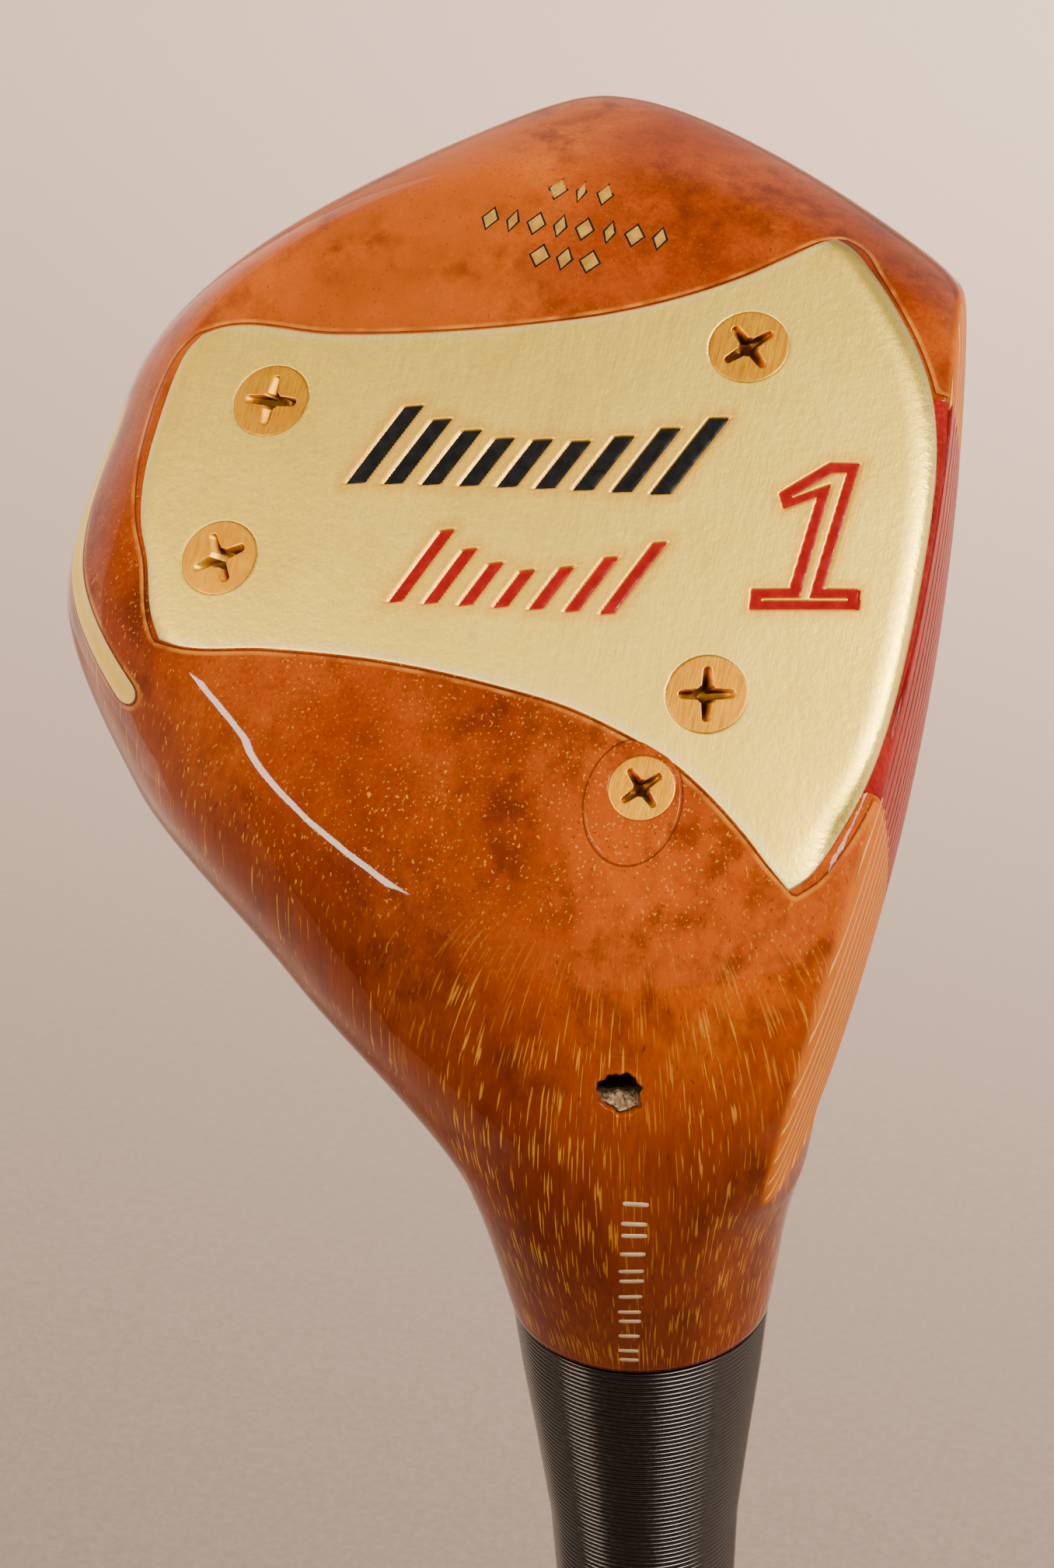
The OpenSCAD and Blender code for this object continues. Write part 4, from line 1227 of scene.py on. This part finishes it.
shaft()
grip()
k0, k1, wide = box_mm("grip_collar")
turned("grip_collar_ring", "grip_collar", PLASTIC, "black_plastic",
       [(BUTT_R, k0), (wide - 0.3, k0), (wide, k0 + 0.4), (wide, k0 + 3.4), (wide - 0.25, k0 + 4.2),
        (BUTT_R + 1.3, k1 - 3), (BUTT_R + 0.7, k1 - 0.6), (BUTT_R + 0.3, k1), (BUTT_R, k1)])
_, cap_t, wide = box_mm("butt_cap")
turned("butt_cap_domed", "butt_cap", PLASTIC, "black_plastic",
       [(0.05, cap_t), (0.05, 0.9), (3.0, 0.9), (3.2, 0.4), (3.5, 0.05), (4.2, 0.0), (wide - 2.6, 0.0),
        (wide - 1.2, 0.35), (wide - 0.4, 1.1), (wide, 2.2), (wide, cap_t - 0.3), (wide - 0.3, cap_t)])
first, last, wide = box_mm("butt_binding")
points, faces = winding([(0, wide), (last - first, wide)], 0.8, CLUB_LENGTH - last, last - first, steps=6)
Shell().add(points, faces).finish("butt_binding_thread", THREAD_BLACK, "thread", "butt_binding")

# ---------------------------------------------------------------- carried CAD nodes
CARRIED = {
    "lead_weight": matt_metal("lead_dull", (0.20, 0.20, 0.21)),
    "insert_screws": SCREW,
    "tip_plug": plain_wood("wood_plug_tip", (0.42, 0.26, 0.11), (0.60, 0.42, 0.22)),
    "butt_plug": plain_wood("wood_plug_butt", (0.40, 0.25, 0.11), (0.58, 0.41, 0.21)),
    "neck_pin": RUSTY,
    "butt_cap_screw": BARE_STEEL,
    "grip_underlisting": tape(),
}
for name, node in frame["nodes"].items():
    if not node.hide_render:
        node.data.materials.clear()
        node.data.materials.append(CARRIED.get(name, BRASS))

# ---------------------------------------------------------------- stage
AZIMUTH, ELEVATION, ROLL, DISTANCE = math.radians(18), math.radians(33.5), math.radians(-1.6), 0.600
LENS, SENSOR = 142.36, 36.0
SHIFT_RIGHT, SHIFT_UP = -0.01045, 0.0006


def camera():
    """The photo's view; returns the place it looks at."""
    back = Vector((math.sin(AZIMUTH) * math.cos(ELEVATION), -math.cos(AZIMUTH) * math.cos(ELEVATION),
                   math.sin(ELEVATION)))
    level = Vector((math.cos(AZIMUTH), math.sin(AZIMUTH), 0))
    upright = back.cross(level)
    right = math.cos(ROLL) * level + math.sin(ROLL) * upright
    up = math.cos(ROLL) * upright - math.sin(ROLL) * level
    sole_z = -(SHAFT_T**2 + SOLE_CENTRE[0] ** 2) / (2 * SOLE_R)
    aim = Vector(row(np.array([0, SHAFT_T, sole_z])))
    place = aim + DISTANCE * back + SHIFT_RIGHT * right + SHIFT_UP * up
    data = bpy.data.cameras.new("camera")
    data.lens, data.sensor_width, data.sensor_fit = LENS, SENSOR, "AUTO"
    data.clip_start, data.clip_end = 0.01, 50
    obj = bpy.data.objects.new("camera", data)
    turn = Matrix((right, up, back)).transposed().to_4x4()
    obj.matrix_world = Matrix.Translation(place) @ turn
    bpy.context.scene.collection.objects.link(obj)
    bpy.context.scene.camera = obj
    return aim


def softbox(name, target, direction, distance, width, height, radiance, colour=(1, 0.97, 0.93),
            wide=(0, 0, 0)):
    """An area light that faces its target; wide is the way its width runs, level if not given."""
    data = bpy.data.lights.new(name, "AREA")
    data.shape, data.size, data.size_y = "RECTANGLE", width, height
    data.energy = radiance * math.pi * width * height
    data.color = colour
    obj = bpy.data.objects.new(name, data)
    d = Vector(direction).normalized()
    obj.location = target + d * distance
    side = Vector(wide) if any(wide) else Vector((0, 0, 1)).cross(d)
    side = (side - side.dot(d) * d).normalized()
    obj.rotation_euler = Matrix((side, d.cross(side), d)).transposed().to_euler()
    obj.visible_camera = False
    bpy.context.scene.collection.objects.link(obj)
    return obj


def stage_mesh(name, points, faces, material):
    """A piece of the studio, which is not part of the club."""
    mesh = bpy.data.meshes.new(name)
    mesh.from_pydata(points, [], faces)
    mesh.materials.append(material)
    obj = bpy.data.objects.new(name, mesh)
    bpy.context.scene.collection.objects.link(obj)
    return obj


def floor():
    """A pale seamless paper floor, painted lighter far behind the club, and at both sides giving off painted
    light of its own.
    """
    m = Nodes("sweep_paper")
    paper = m.noise(m.scaled(3, 3, 3), 3, 0.6)
    # painted light: lighter far behind the club and at both sides, where the paper also emits light of its
    # own
    sides = m.times(m.step(m.math("ABSOLUTE", m.part("X")), 800, 1100), m.step(m.part("Y"), 1300, 700))
    far = m.math("MAXIMUM", m.step(m.part("Y"), 900, 2400), sides)
    base = m.mix(far, (0.31, 0.235, 0.185), (1.0, 0.75, 0.61))
    base = m.mix(m.step(paper, 0.3, 0.7, 0.0, 0.12), base, (0.70, 0.55, 0.46))
    m.set(Base_Color=base, Roughness=0.8, Normal=m.bump(paper, 0.02, 0.3), Emission_Color=(1.0, 0.85, 0.72),
          Emission_Strength=m.times(sides, 0.38))
    n, z = 25, cad_box[0].z - 0.0005
    g = np.linspace(-14, 14, n)
    stage_mesh("floor", [(x, y, z) for x in g for y in g], grid_faces(n, n), m.material)


def curtain(aim, radius, left, right, low, high):
    """A dark curtain round the camera's side of the studio, which the camera itself does not see."""
    m = Nodes("curtain_cloth")
    weave = m.noise(m.scaled(8, 8, 8), 3, 0.6)
    m.set(Base_Color=m.mix(weave, (0.020, 0.016, 0.013), (0.030, 0.024, 0.020)), Roughness=0.9)
    angles = AZIMUTH + np.radians(np.linspace(-left, right, 49))
    points = [(aim.x + radius * math.sin(a), aim.y - radius * math.cos(a), aim.z + h) for h in (low, high)
              for a in angles]
    obj = stage_mesh("curtain", points, grid_faces(2, 49), m.material)
    obj.visible_camera = False


def world(dim_towards):
    """Pale surroundings that are dimmer overhead, where the sole looks."""
    w = bpy.data.worlds.new("studio")
    w.use_nodes = True
    bpy.context.scene.world = w
    nodes, links = w.node_tree.nodes, w.node_tree.links
    background = nodes["Background"]
    background.inputs["Color"].default_value = (0.80, 0.72, 0.65, 1)
    facing = nodes.new("ShaderNodeVectorMath")
    facing.operation = "DOT_PRODUCT"
    links.new(nodes.new("ShaderNodeTexCoord").outputs["Generated"], facing.inputs[0])
    facing.inputs[1].default_value = Vector(dim_towards).normalized()
    share = nodes.new("ShaderNodeMapRange")
    share.interpolation_type = "SMOOTHSTEP"
    for key, value in {"From Min": 0.3, "From Max": 0.95, "To Min": 0.88, "To Max": 0.54}.items():
        share.inputs[key].default_value = value
    links.new(facing.outputs["Value"], share.inputs["Value"])
    links.new(share.outputs[0], background.inputs["Strength"])


aim = camera()
softbox("key_right", aim, (0.60, -0.20, 0.77), 1.25, 0.62, 0.34, 23, wide=(0.2, 0.48, 0))
glint = softbox("glint_right", aim, (0.52, -0.34, 0.78), 1.35, 0.60, 0.36, 29, wide=(0.2, 0.48, 0))
glint.visible_diffuse = False
softbox("key_left", aim, (-0.575, -0.57, 0.56), 1.25, 0.56, 0.10, 56, (1, 0.88, 0.75),
        wide=(0.2, -0.35, -0.14))
softbox("wall_left", aim, (-0.95, 0.55, -0.05), 1.8, 1.8, 2.2, 0.9, (1, 0.84, 0.70))
softbox("wall_right", aim, (0.98, 0.35, -0.05), 1.8, 1.8, 2.2, 0.95, (1, 0.86, 0.74))
wash = softbox("wash_floor", aim + Vector((0.3, 2.2, -1.1)), (0, 0.3, 0.95), 1.5, 1.6, 1.2, 9.6,
               (1, 0.90, 0.80))
wash.visible_glossy = False
floor()
curtain(aim, 1.6, 77, 50, -0.9, 0.55)
world((-0.26, -0.25, 0.93))
